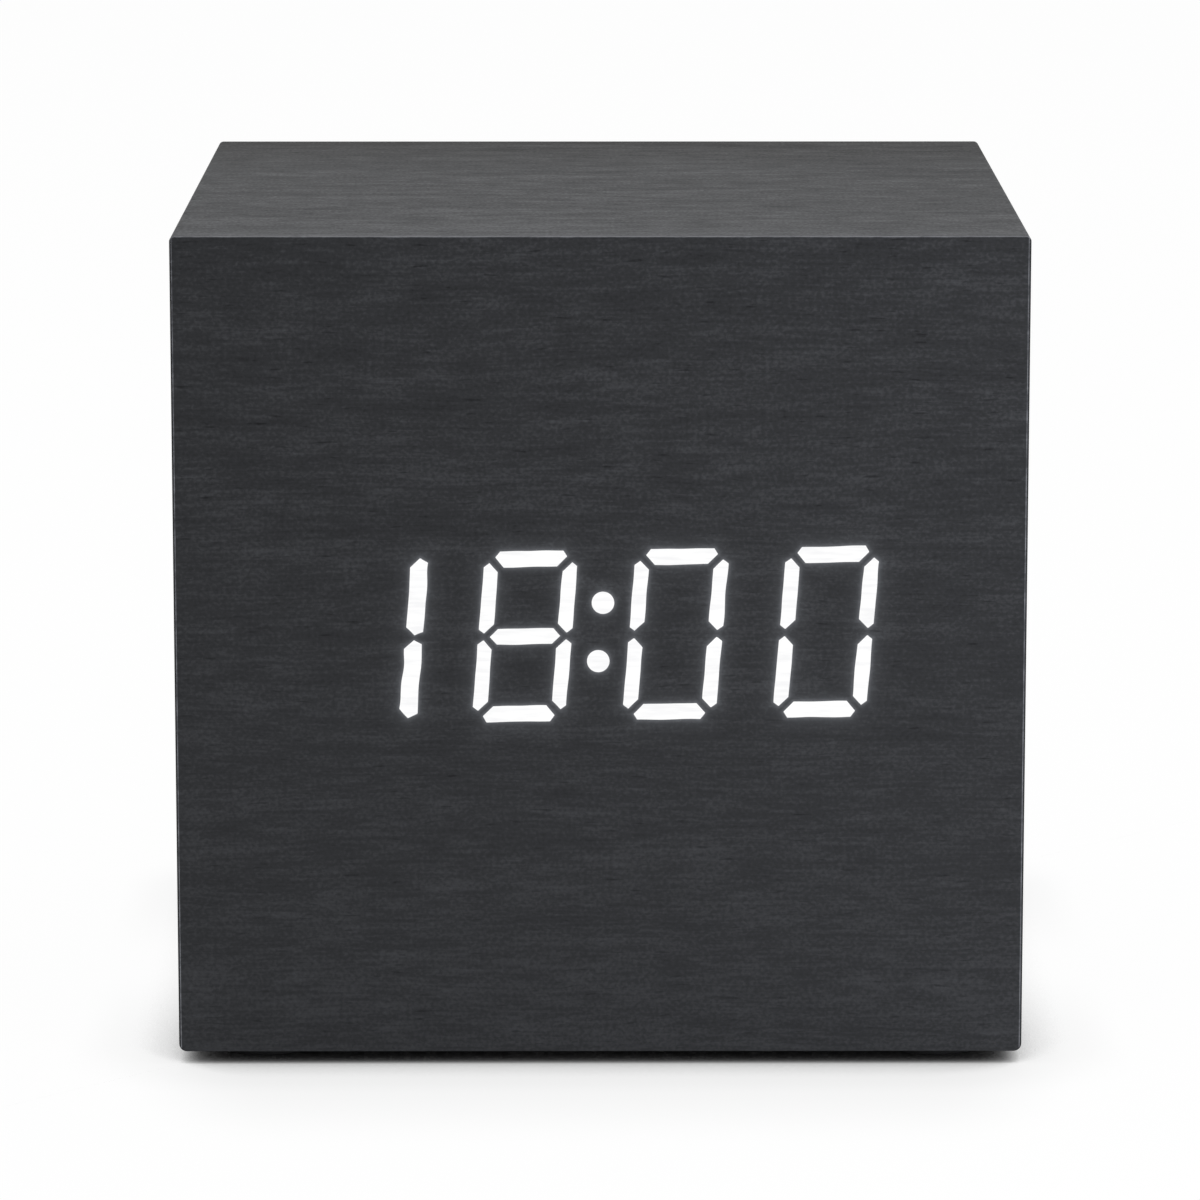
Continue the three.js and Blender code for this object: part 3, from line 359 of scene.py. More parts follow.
def joined(*parts):
    """One bmesh of several, each a bmesh or a mesh, or a pair of one and the matrix that moves it."""
    whole = bmesh.new()
    for part in parts:
        shape, matrix = part if isinstance(part, tuple) else (part, None)
        add_mesh(whole, mesh_of(shape) if isinstance(shape, bmesh.types.BMesh) else shape, matrix)
    return whole


def carved(body, cutter):
    """A body with a cutter's shape taken out of it."""
    holders = [placed("part", mesh_of(bm)) for bm in (body, cutter)]
    cut = holders[0].modifiers.new("cut", "BOOLEAN")
    cut.operation = "DIFFERENCE"
    cut.solver = "EXACT"
    cut.object = holders[1]
    bm = bmesh.new()
    add_mesh(bm, evaluated(holders[0]))
    for holder in holders:
        bpy.data.meshes.remove(holder.data)
    return bm


def sliced(bm, axis, place, geom=None):
    """Cuts a bmesh, or some of it, in the plane where an axis has this value."""
    normal = Vector((0, 0, 0))
    normal[axis] = 1
    bmesh.ops.bisect_plane(
        bm, geom=geom or bm.verts[:] + bm.edges[:] + bm.faces[:], dist=1e-5,
        plane_co=normal * place, plane_no=normal,
    )


def moved(x, y, z):
    """The matrix of a move."""
    return Matrix.Translation((x, y, z))


def finished(name, bm, body, materials, replaced):
    """Makes a bmesh in millimetres into a piece in metres, in its place on its body, that stands for
    the replaced nodes. Folds over 30 degrees stay sharp."""
    bmesh.ops.scale(bm, vec=(MM, MM, MM), verts=bm.verts)
    mesh = mesh_of(bm)
    mesh.name = name
    mesh.shade_smooth()
    mesh.set_sharp_from_angle(angle=math.radians(30))
    for material in materials:
        mesh.materials.append(material)
    item = placed(name, mesh)
    shading = item.modifiers.new("even_shading", "WEIGHTED_NORMAL")
    shading.keep_sharp = True
    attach(item, body)
    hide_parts(*replaced)


# Materials

def linear(code):
    """The linear colour of an sRGB hex value."""
    parts = [int(code[i:i + 2], 16) / 255 for i in (1, 3, 5)]
    return [p / 12.92 if p <= 0.04045 else ((p + 0.055) / 1.055) ** 2.4 for p in parts] + [1]


def feed(tree, node, inputs):
    """Gives inputs of a node a value each, or a link from a socket or from a node's first output."""
    for key, value in inputs.items():
        if isinstance(value, bpy.types.Node):
            value = value.outputs[0]
        if isinstance(value, bpy.types.NodeSocket):
            tree.links.new(value, node.inputs[key])
        else:
            node.inputs[key].default_value = value


def add(tree, kind, inputs=None, **settings):
    """Adds a node with its settings, values and links."""
    node = tree.nodes.new("ShaderNode" + kind)
    for name, value in settings.items():
        setattr(node, name, value)
    feed(tree, node, inputs or {})
    return node


def ramp(tree, factor, *stops):
    """A colour ramp through (place, hex colour) stops."""
    node = add(tree, "ValToRGB", {"Fac": factor})
    elements = node.color_ramp.elements
    while len(elements) < len(stops):
        elements.new(1)
    for element, (place, code) in zip(elements, stops):
        element.position = place
        element.color = linear(code)
    return node


def new_material(name):
    """A material with its node tree and its shader."""
    made = bpy.data.materials.new(name)
    made.use_nodes = True
    tree = made.node_tree
    return made, tree, tree.nodes["Principled BSDF"]


def per_mm(*lengths):
    """The scale that turns metres into pattern units of these lengths in millimetres."""
    return [1 / (length * MM) for length in lengths]


def speckled(name, tones, grit, roughness, relief=0.01, metallic=0.0):
    """Soft blotches between two close tones, under a grit of the given size in millimetres. The real
    grit, left by the mould, the plating or the tumbling drum, is 0.02 to 0.1 mm and too fine to show, so
    each is drawn two to ten times as coarse. The relief, in millimetres, is the real one."""
    made, tree, shader = new_material(name)
    place = add(tree, "TexCoord").outputs["Object"]
    blotch = add(tree, "TexNoise", {"Vector": place, "Scale": per_mm(grit * 14)[0], "Detail": 3.0})
    fine = add(tree, "TexNoise", {"Vector": place, "Scale": per_mm(grit)[0], "Detail": 2.0})
    mixed = add(tree, "Math", {0: blotch, 1: fine}, operation="ADD")
    half = add(tree, "Math", {0: mixed, 1: 0.5}, operation="MULTIPLY")
    feed(tree, shader, {
        "Base Color": ramp(tree, half, (0.0, tones[0]), (1.0, tones[1])),
        "Roughness": add(tree, "MapRange", {
            "Value": blotch, "From Min": 0.3, "From Max": 0.7,
            "To Min": roughness[0], "To Max": roughness[1],
        }),
        "Normal": add(tree, "Bump", {"Height": fine, "Strength": 0.5, "Distance": relief * MM}),
        "Metallic": metallic,
    })
    return made


def stained_veneer():
    """Beech veneer, sliced, stained black and matt lacquered: fine level lines of grain with short
    darker pores, and broad bands of tone. Painted light makes it paler next to the front and at
    the front's lower edge, painted shade darker towards the back, on the rear rim and on the front's
    side folds, and a painted highlight, broken up like wear from rubbing, lies on the front's edges.
    The light of the display spreads a little way in it. Real pores and fibres are about 0.05 mm
    across, so specks, lines and pores are drawn about five times as coarse, which is what the photo's
    blur leaves of them."""
    made, tree, shader = new_material("black_stained_beech_veneer")
    grain = add(tree, "UVMap", uv_map="grain")
    slow = add(tree, "Mapping", {"Vector": grain, "Scale": (1 / 30, 1 / 9, 1)})
    wander = add(tree, "TexNoise", {"Vector": slow, "Scale": 1.0, "Detail": 1.0})
    bent = add(tree, "VectorMath", {
        0: wander.outputs["Color"], 1: (0.0, 1.6, 0.0), 2: grain,
    }, operation="MULTIPLY_ADD")
    total = 0.5
    for length, width, detail, weight in (
        (0.32, 0.26, 1.0, 0.225),  # specks
        (4.6, 0.27, 2.0, 0.175),  # lines of grain
        (3.6, 1.1, 2.0, 0.145),  # flecks
        (20.0, 2.2, 1.0, 0.11),  # bands of tone
    ):
        fitted = add(tree, "Mapping", {"Vector": bent, "Scale": (1 / length, 1 / width, 1)})
        lines = add(tree, "TexNoise", {
            "Vector": fitted, "Scale": 1.0, "Detail": detail, "Distortion": 0.4,
        })
        centred = add(tree, "Math", {0: lines, 1: 0.5}, operation="SUBTRACT")
        total = add(tree, "Math", {0: centred, 1: weight, 2: total}, operation="MULTIPLY_ADD")
    pore_place = add(tree, "Mapping", {
        "Vector": bent, "Scale": (1 / 1.8, 1 / 0.3, 1), "Location": (7, 3, 0),
    })
    pores = add(tree, "TexNoise", {"Vector": pore_place, "Scale": 1.0, "Detail": 1.0})
    dark = add(tree, "MapRange", {
        "Value": pores, "From Min": 0.22, "From Max": 0.34, "To Min": -0.13, "To Max": 0.0,
    })
    pored = add(tree, "Math", {0: total, 1: dark}, operation="ADD")
    calm, shade, edge, glow = (
        add(tree, "Attribute", attribute_name=name, attribute_type="GEOMETRY").outputs["Fac"]
        for name in ("calm", "shade", "edge", "glow")
    )
    tone = add(tree, "Mix", {0: calm, 2: pored, 3: 0.5})
    # The skin's shade values add painted light and shade to the grain's tone
    shaded = add(tree, "Math", {0: tone, 1: shade}, operation="ADD")
    rubs = add(tree, "Mapping", {"Vector": grain, "Scale": (1 / 1.6, 1 / 1.6, 1)})
    patchy = add(tree, "TexNoise", {"Vector": rubs, "Scale": 1.0, "Detail": 2.0})
    # A painted highlight on the front's edges, broken up like wear from rubbing
    rubbed_highlight = add(tree, "Math", {0: edge, 1: patchy}, operation="MULTIPLY")
    lit_shaded_and_worn = add(tree, "Math", {0: rubbed_highlight, 1: 0.9, 2: shaded}, operation="MULTIPLY_ADD")
    feed(tree, shader, {
        "Base Color": ramp(
            tree, lit_shaded_and_worn, (0.2, "#060607"), (0.5, "#28292b"), (0.75, "#4e4f52"), (1.0, "#828387"),
        ),
        "Roughness": add(tree, "MapRange", {
            "Value": tone, "From Min": 0.3, "From Max": 0.7, "To Min": 0.9, "To Max": 0.44,
        }),
        "Normal": add(tree, "Bump", {"Height": tone, "Strength": 0.35, "Distance": 0.05 * MM}),
        "Emission Color": ramp(tree, glow, (0.0, "#000000"), (1.0, "#5d5f63")),
        "Emission Strength": 1.0,
        "Specular IOR Level": 0.2,
    })
    return made


def lit_veneer():
    """Veneer with a white lamp behind it: an even white, with the grain only just to be seen. It is the
    lamp that shows, so the surface itself stays as dark as the veneer."""
    made, tree, shader = new_material("lit_white_display")
    place = add(tree, "TexCoord").outputs["Object"]
    fitted = add(tree, "Mapping", {"Vector": place, "Scale": per_mm(2.4, 2.4, 0.3)})
    lines = add(tree, "TexNoise", {"Vector": fitted, "Scale": 1.0, "Detail": 2.0})
    feed(tree, shader, {
        "Emission Color": ramp(tree, lines, (0.3, "#f6f6f7"), (0.56, "#ffffff")), "Emission Strength": 1.0,
        "Base Color": linear("#0c0c0d"), "Specular IOR Level": 0.1, "Roughness": 0.5,
    })
    return made


def fibreboard():
    """Medium-density fibreboard, sawn: fluffy brown fibres, painted black where the rim shows it."""
    made, tree, shader = new_material("sawn_fibreboard")
    place = add(tree, "TexCoord").outputs["Object"]
    fibres = add(tree, "TexNoise", {"Vector": place, "Scale": per_mm(0.35)[0], "Detail": 5.0})
    brown = ramp(tree, fibres, (0.3, "#7d5c3b"), (0.7, "#a98457"))
    black = ramp(tree, fibres, (0.3, "#121213"), (0.7, "#232325"))
    painted = add(tree, "MapRange", {
        "Value": add(tree, "SeparateXYZ", {0: place}).outputs["Y"],
        "From Min": (INNER - 1.0) * MM, "From Max": INNER * MM,
    })
    mixed = add(tree, "Mix", {0: painted, 6: brown, 7: black}, data_type="RGBA")
    feed(tree, shader, {
        "Base Color": mixed.outputs[2], "Roughness": 0.85,
        "Normal": add(tree, "Bump", {"Height": fibres, "Strength": 0.6, "Distance": 0.05 * MM}),
    })
    return made


def shrink_film():
    """Shrink film on a battery cell: glossy slate blue, with a pale grey band at the plus end."""
    made, tree, shader = new_material("glossy_shrink_film")
    place = add(tree, "TexCoord").outputs["Object"]
    film = add(tree, "TexNoise", {"Vector": place, "Scale": per_mm(6)[0], "Detail": 2.0})
    blue = ramp(tree, film, (0.3, "#3f5a6e"), (0.7, "#4c6a80"))
    pale = ramp(tree, film, (0.3, "#b9bdc0"), (0.7, "#c9ccce"))
    band = add(tree, "Attribute", attribute_name="band", attribute_type="GEOMETRY").outputs["Fac"]
    mixed = add(tree, "Mix", {0: band, 6: blue, 7: pale}, data_type="RGBA")
    feed(tree, shader, {"Base Color": mixed.outputs[2], "Roughness": 0.28})
    return made


def striped_ribbon(low, pitch):
    """Grey vinyl ribbon: its wires show as ridges side by side, the first one marked red."""
    made, tree, shader = new_material("ribbed_grey_vinyl")
    place = add(tree, "TexCoord").outputs["Object"]
    across = add(tree, "SeparateXYZ", {0: place}).outputs["X"]
    wires = add(tree, "Math", {0: across, 1: 2 * math.pi / (pitch * MM)}, operation="MULTIPLY")
    ridge = add(tree, "Math", {0: wires}, operation="COSINE")
    grey = ramp(tree, ridge, (0.0, "#6d7075"), (1.0, "#9a9da2"))
    first = add(tree, "Math", {0: across, 1: (low + pitch) * MM}, operation="LESS_THAN")
    mixed = add(tree, "Mix", {0: first, 6: grey, 7: linear("#a33028")}, data_type="RGBA")
    feed(tree, shader, {
        "Base Color": mixed.outputs[2], "Roughness": 0.5,
        "Normal": add(tree, "Bump", {"Height": ridge, "Strength": 0.8, "Distance": 0.2 * MM}),
    })
    return made


def laminate():
    """Circuit board, glass laminate under green lacquer: paler tracks run beneath the colour."""
    made, tree, shader = new_material("green_lacquered_laminate")
    place = add(tree, "TexCoord").outputs["Object"]
    fitted = add(tree, "Mapping", {"Vector": place, "Scale": per_mm(4.2, 4.2, 2.1)})
    cells = add(tree, "TexVoronoi", {"Vector": fitted, "Scale": 1.0}, distance="CHEBYCHEV")
    tracks = ramp(tree, cells, (0.42, "#175c3a"), (0.46, "#2a7d52"))
    feed(tree, shader, {"Base Color": tracks, "Roughness": 0.38})
    return made


veneer = stained_veneer()
display_light = lit_veneer()
board = fibreboard()
# Beech blocks, planed: pale brown with a fleck.
beech = speckled("planed_beech", ("#a97f4f", "#c49a68"), 0.5, (0.6, 0.75), 0.02)
# Rubber, compression moulded: dead black with a dusty bloom.
rubber = speckled("moulded_rubber", ("#0e0e0f", "#1f1f20"), 0.2, (0.75, 0.9), 0.03)
# Housing plastic, moulded against a spark-eroded tool: an even fine grain that breaks up the shine.
casing = speckled("grained_black_abs", ("#161719", "#232427"), 0.22, (0.48, 0.62), 0.035)
# Button plastic, moulded against a smoother tool: a shade lighter and silkier than the housing.
keycap = speckled("satin_grey_abs", ("#2b2c2f", "#383a3d"), 0.15, (0.34, 0.44), 0.01)
# Symbols on the buttons, hot-stamped: pale grey film on the raised marks.
stamping = speckled("hot_stamped_grey", ("#8f9296", "#a9acaf"), 0.12, (0.4, 0.5), 0.01)
# Zinc-plated steel, cold headed: a bright skin with cloudy patches.
screw_steel = speckled("zinc_plated_steel", ("#8d9196", "#c3c7ca"), 0.3, (0.26, 0.42), 0.006, 1.0)
# Nickel-plated spring steel: warm and bright, with faint draw marks.
nickel = speckled("nickel_plated_steel", ("#a5a198", "#d2cec4"), 0.25, (0.2, 0.34), 0.004, 1.0)
# Steel cell can, nickel plated and tumbled: duller than the contacts.
can_steel = speckled("tumbled_can_steel", ("#8f8f8e", "#bcbcba"), 0.35, (0.34, 0.48), 0.006, 1.0)
# Brass pin, turned and polished.
brass = speckled("polished_brass", ("#a8843f", "#cda75c"), 0.3, (0.2, 0.3), 0.004, 1.0)
# Polycarbonate mask, moulded matt so that the lamps don't shine through its walls.
mask_plastic = speckled("matt_black_polycarbonate", ("#101011", "#1d1d1f"), 0.2, (0.6, 0.75), 0.02)
# Epoxy and phenolic mouldings of the electronic parts: close black with a faint bloom.
component = speckled("moulded_black_epoxy", ("#111214", "#1e2023"), 0.18, (0.38, 0.52), 0.012)
# Nylon plungers, moulded: waxy black.
nylon = speckled("moulded_black_nylon", ("#0c0c0d", "#161617"), 0.2, (0.35, 0.45), 0.008)
# Vinyl insulation, extruded: soft sheen along the wire.
black_vinyl = speckled("extruded_black_vinyl", ("#0f0f10", "#1c1c1d"), 0.4, (0.4, 0.5), 0.006)
red_vinyl = speckled("extruded_red_vinyl", ("#8c1813", "#b0241c"), 0.4, (0.4, 0.5), 0.006)


# Lit bars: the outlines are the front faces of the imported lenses

def front_face(name):
    """The flat outlines on the front of a packed lens."""
    bm = bmesh.new()
    bm.from_mesh(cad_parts[name].data)
    bmesh.ops.scale(bm, vec=(1 / MM,) * 3, verts=bm.verts)
    bmesh.ops.remove_doubles(bm, verts=bm.verts, dist=1e-3)
    front = min(v.co.y for v in bm.verts)
    behind = [f for f in bm.faces if any(v.co.y > front + FACE_SUNK / 2 for v in f.verts)]
    bmesh.ops.delete(bm, geom=behind, context="FACES")
    bmesh.ops.dissolve_limit(bm, angle_limit=math.radians(1), verts=bm.verts, edges=bm.edges)
    return bm


def wavy(face, wave, seed):
    """Divides the sides of a bar's outline, rounds its tips and lets its long sides wander."""
    points = rounded([(v.co.x, v.co.z) for v in face.verts], TIP_ROUNDING, 2)
    dense = []
    for i, point in enumerate(points):
        ahead = points[(i + 1) % len(points)]
        steps = max(1, round((ahead - point).length / BAR_STEP))
        dense += [point.lerp(ahead, k / steps) for k in range(steps)]
    middle = sum(dense, Vector((0, 0))) / len(dense)
    outline = []
    for i, point in enumerate(dense):
        along = dense[(i + 1) % len(dense)] - dense[i - 1]
        outwards = Vector((along.y, -along.x)).normalized()
        if outwards.dot(point - middle) < 0:
            outwards.negate()
        spot = Vector((point.x / WAVE_LENGTH, seed, point.y / WAVE_LENGTH))
        outline.append(point + outwards * (wave * 2 * noise.noise(spot) - SLIMMING))
    return outline


def lit_outlines():
    """The outlines of every lit bar and dot, by lens."""
    found = {}
    for name in ("tens_of_hours", "hours", "tens_of_minutes", "minutes"):
        bm = front_face(f"lens_{name}")
        wave = BOLD_WAVE if name == "tens_of_hours" else WAVE
        found[name] = [wavy(face, wave, 7.0 * i) for i, face in enumerate(bm.faces)]
        bm.free()
    bm = front_face("lens_colon")
    found["colon"] = []
    for face in bm.faces:
        middle = face.calc_center_median()
        radius = (face.verts[0].co - middle).length - SLIMMING
        found["colon"].append(ring_outline(radius, middle.x, middle.z))
    bm.free()
    return found


outlines = lit_outlines()


def build_display():
    """The lit bars, proud of the veneer by a hair."""
    front = skin_low.y
    for name, bars in outlines.items():
        bm = joined(*[plate([bar], front, front + BAR_DEPTH) for bar in bars])
        tidy(bm)
        finished(f"lit_{name}", bm, "case", [display_light], [f"lens_{name}"])


def glow_at(points):
    """How brightly the light of the bars shows at points in x and z."""
    nearest = np.full(len(points), 1e9)
    for outline in sum(outlines.values(), []):
        start = np.array(outline)
        along = np.roll(start, -1, axis=0) - start
        for s, a in zip(start, along):
            share = np.clip(((points - s) @ a) / (a @ a), 0, 1)
            nearest = np.minimum(nearest, np.linalg.norm(points - s - share[:, None] * a, axis=1))
    return sum(share * np.exp(-nearest / reach) for share, reach in zip(GLOW_SHARE, GLOW_REACH))


# Case

def build_skin():
    """The veneer skin: a rounded box, open at the back, whose front is finely divided where the
    display lights it."""
    low = Vector(skin_low) + Vector((0, FACE_SUNK, 0))
    bm = block(low, skin_high)
    for height, radius in ((skin_high.z, TOP_CORNER), (skin_low.z, BOTTOM_CORNER)):
        level = [e for e in bm.edges if all(abs(v.co.z - height) < 1e-4 for v in e.verts)]
        bevel(bm, [e for e in level if abs(e.verts[0].co.y - e.verts[1].co.y) > 1], radius, ROUND_STEPS)
    ends = [e for e in bm.edges if abs((e.verts[0].co - e.verts[1].co).y) < 1e-6]
    bevel(bm, ends, EDGE_RADIUS, ROUND_STEPS)
    wall = Vector((VENEER,) * 3)
    bm = carved(bm, block(low + wall, skin_high - wall))
    bm = carved(bm, block(
        (-OPENING[0], skin_high.y - 1, skin_middle - OPENING[1]),
        (OPENING[0], skin_high.y + 1, skin_middle + OPENING[1]),
    ))
    for y in (low.y + PAINTED_LIGHT_STRIP, skin_high.y - SHADED_DEPTH):
        sliced(bm, 1, y)
    for inwards in HIGHLIGHT_AND_RUB_LINE:
        for x in (skin_low.x + inwards, skin_high.x - inwards):
            cut_front(bm, low.y, 0, x)
    points = np.concatenate([np.array(outline) for outline in sum(outlines.values(), [])])
    start = points.min(0) - GLOW_MARGIN
    end = points.max(0) + GLOW_MARGIN
    divide_window(bm, low.y, start, end)
    mark_skin(bm, start[1], end[1])
    finished("veneer_skin", bm, "case", [veneer], ["veneer_wrap"])


def divide_window(bm, y, start, end):
    """Divides the front finely between two corners, for the glow of the display."""
    counts = [round((end[i] - start[i]) / GLOW_STEP[i]) for i in (0, 1)]
    for axis, places in ((0, (start[0], end[0])), (2, (start[1], end[1]))):
        for place in places:
            cut_front(bm, y, axis, place)
    window = face_at(bm, y, start, end)
    across = [e for e in window.edges if abs((e.verts[0].co - e.verts[1].co).x) > 1]
    upright = [e for e in window.edges if e not in across]
    bmesh.ops.delete(bm, geom=[window], context="FACES_ONLY")
    bmesh.ops.subdivide_edges(bm, edges=across, cuts=counts[0] - 1)
    bmesh.ops.subdivide_edges(bm, edges=upright, cuts=counts[1] - 1)
    grid = bmesh.ops.create_grid(bm, x_segments=counts[0], y_segments=counts[1], size=0.5)["verts"]
    size = end - start
    place = moved((start[0] + end[0]) / 2, y, (start[1] + end[1]) / 2)
    bmesh.ops.transform(bm, verts=grid, matrix=place @ UPRIGHT @ Matrix.Diagonal((size[0], size[1], 1, 1)))
    bmesh.ops.remove_doubles(bm, verts=bm.verts, dist=1e-3)


def face_at(bm, y, start, end):
    """The face in the plane y that fills a rectangle."""
    for face in bm.faces:
        if all(abs(v.co.y - y) < 1e-3 for v in face.verts):
            spans = [(min(v.co[k] for v in face.verts), max(v.co[k] for v in face.verts)) for k in (0, 2)]
            wanted = [(start[0], end[0]), (start[1], end[1])]
            if all(abs(a - b) < 1e-3 for s, w in zip(spans, wanted) for a, b in zip(s, w)):
                return face
    raise ValueError("no face fills the rectangle")


def cut_front(bm, y, axis, place):
    """Cuts the flat faces in the plane y where the axis has this value."""
    faces = [f for f in bm.faces if all(abs(v.co.y - y) < 1e-4 for v in f.verts)]
    sliced(bm, axis, place, list({x for f in faces for x in [*f.edges, *f.verts]}) + faces)


def mark_skin(bm, window_low, window_high):
    """Gives the skin its grain map, in millimetres along and across, and the material's values: shade,
    the painted light and shade added to the grain's tone, calm, how much quieter the grain is, edge,
    how strong a painted highlight lies there, broken up like wear from rubbing, and glow. The two
    heights are those of the finely divided window in the front."""
    grain = bm.loops.layers.uv.new("grain")
    edge, shade, calm, glow = (
        bm.verts.layers.float.new(name) for name in ("edge", "shade", "calm", "glow")
    )
    for face in bm.faces:
        face.normal_update()
        n = face.normal
        for loop in face.loops:
            x, y, z = loop.vert.co
            fold = y - skin_low.y
            if n.y > 0.9:
                loop[grain].uv = (x + RIM_GRAIN[0], z + RIM_GRAIN[1])
            elif n.z > 0.7:
                loop[grain].uv = (x * TOP_GRAIN[0], z + fold * TOP_GRAIN[1])
            elif abs(n.z) >= abs(n.x):
                loop[grain].uv = (x, z + math.copysign(fold, z - skin_middle))
            else:
                loop[grain].uv = (x + math.copysign(fold, x), z)
    heights = (skin_low.z, window_low, window_high, skin_high.z)
    for vert in bm.verts:
        # The depth is 0 on the front plane and 1 where its rounded edge ends.
        depth = (vert.co.y - skin_low.y - FACE_SUNK) / EDGE_RADIUS
        inwards = skin_high.x - abs(vert.co.x)
        upper = vert.co.z > skin_middle
        # Painted shade on the rear rim, and painted light on the fold round the front and on the strip behind
        # it
        if skin_high.y - vert.co.y < 1.5 * EDGE_RADIUS:
            vert[shade] = REAR_PAINTED_SHADE
        elif depth < 1.5:
            vert[shade] = FOLD_PAINTED_LIGHT
        elif depth < 1.1 * PAINTED_LIGHT_STRIP / EDGE_RADIUS:
            vert[shade] = STRIP_PAINTED_LIGHT
        # A painted highlight on the upper front fold, broken up like wear from rubbing
        if 0.001 < depth < 0.999 and inwards > EDGE_RADIUS and upper:
            vert[edge] = FOLD_HIGHLIGHT_AND_RUB[0] if depth > 0.3 else FOLD_HIGHLIGHT_AND_RUB[1]
        # On the front: painted light, palest at the bottom, and a little painted shade at the top; the grain
        # is calmest at the bottom
        if depth < 0.001 or (vert.co.z < skin_middle and depth < 0.999):
            vert[shade] = np.interp(vert.co.z, heights, FRONT_PAINTED_LIGHT_AND_SHADE)
            vert[calm] = np.interp(vert.co.z, heights, FRONT_CALM)
        # Painted shade on the folds at the front's two sides
        if depth < 0.999 and inwards < EDGE_RADIUS:
            vert[shade] = SIDE_FOLD_PAINTED_SHADE
        # A thin pale line on the front near each side: a painted highlight that is also wear from rubbing
        if depth < 0.001 and abs(inwards - HIGHLIGHT_AND_RUB_LINE[1]) < 1e-3:
            vert[edge] = 1.0
    front = [v for v in bm.verts if v.co.y < skin_low.y + 2 * FACE_SUNK]
    lit = glow_at(np.array([(v.co.x, v.co.z) for v in front]))
    for vert, value in zip(front, lit):
        vert[glow] = float(value)


def build_feet():
    """Moulded feet, a little hollow underneath."""
    for i in (1, 2, 3, 4):
        low, high = span(f"foot_{i}")
        radius, height = (high.x - low.x) / 2, high.z - low.z
        profile = soft_profile(
            [(0, FOOT_HOLLOW[0]), (radius * FOOT_HOLLOW[1], 0), (radius, 0), (radius, height), (0, height)],
            [0, 0, *FOOT_EDGES, 0],
        )
        bm = turned(profile)
        middle = (low + high) / 2
        bmesh.ops.transform(bm, matrix=moved(middle.x, middle.y, 0) @ UPRIGHT, verts=bm.verts)
        finished(f"rubber_foot_{i}", bm, "case", [rubber], [f"foot_{i}"])


# Rear cover

def build_cover():
    """The cover: three plates, one behind the other, with the door's seat, the screws' pockets and bores,
    the holes of the buttons and the inlet, the sound slots, and the battery well."""
    rim = box_outline((cover_low.x, cover_low.z), (cover_high.x, cover_high.z), COVER_CORNER)
    seat = box_outline(
        (door_low.x - FITTING_GAP, DOOR_BOTTOM - FITTING_GAP),
        (door_high.x + FITTING_GAP, door_high.z + FITTING_GAP),
        DOOR_CORNER + FITTING_GAP,
    )
    well = box_outline(
        (door_low.x + LEDGE, DOOR_BOTTOM + LEDGE), (door_high.x - LEDGE, door_high.z - LEDGE),
    )
    holes = [ring_outline(KEY_RADIUS + FITTING_GAP, centre(b).x, centre(b).z) for b in buttons.values()]
    inlet = centre((inlet_low, inlet_high))
    holes.append(ring_outline(INLET_NOSE + FITTING_GAP, inlet.x, inlet.z))
    slot_z = (DOOR_BOTTOM + cover_low.z) / 2
    half = Vector(SLOT_SIZE) / 2
    for i in range(SLOT_COUNT):
        x = (i - (SLOT_COUNT - 1) / 2) * SLOT_PITCH
        holes.append(box_outline(
            (x - half.x, slot_z - half.y), (x + half.x, slot_z + half.y), half.x - SQUARE,
        ))
    places = [centre(screw) for screw in screws]
    pockets = [ring_outline(SCREW_HEAD + FITTING_GAP, p.x, p.z) for p in places]
    bores = [ring_outline(SCREW_BORE, p.x, p.z, 24) for p in places]
    floor = OUTER - POCKET_DEPTH
    bm = joined(
        plate([rim, seat, *holes, *pockets], floor, OUTER, MOULDED_EDGE),
        plate([rim, seat, *holes, *bores], SEAT - HAIR, floor + HAIR),
        plate([rim, well, *holes, *bores], INNER, SEAT),
        build_tray(),
    )
    finished("moulded_rear_cover", bm, "case", [casing], ["rear_cover"])


def build_tray():
    """The battery well: an open tray, notched where the door's hooks reach under the cover."""
    well_floor = centre(well_cells[0]).y - CELL_RADIUS - CELL_ROOM
    low = Vector((door_low.x + LEDGE - WELL_WALL, well_floor - WELL_WALL, DOOR_BOTTOM + LEDGE - WELL_WALL))
    high = Vector((door_high.x - LEDGE + WELL_WALL, INNER + OVERLAP, door_high.z - LEDGE + WELL_WALL))
    wall = Vector((WELL_WALL, 0, WELL_WALL))
    hollow = block(low + wall + Vector((0, WELL_WALL, 0)), high - wall + Vector((0, 2, 0)))
    body = carved(block(low, high), hollow)
    for side in (-1, 1):
        x = side * HOOK_SPREAD / 2
        half = HOOK_WIDTH / 2 + FITTING_GAP
        body = carved(body, block(
            (x - half, OUTER - HOOK_ROOM, low.z - 1), (x + half, INNER, low.z + WELL_WALL + 1),
        ))
    return body


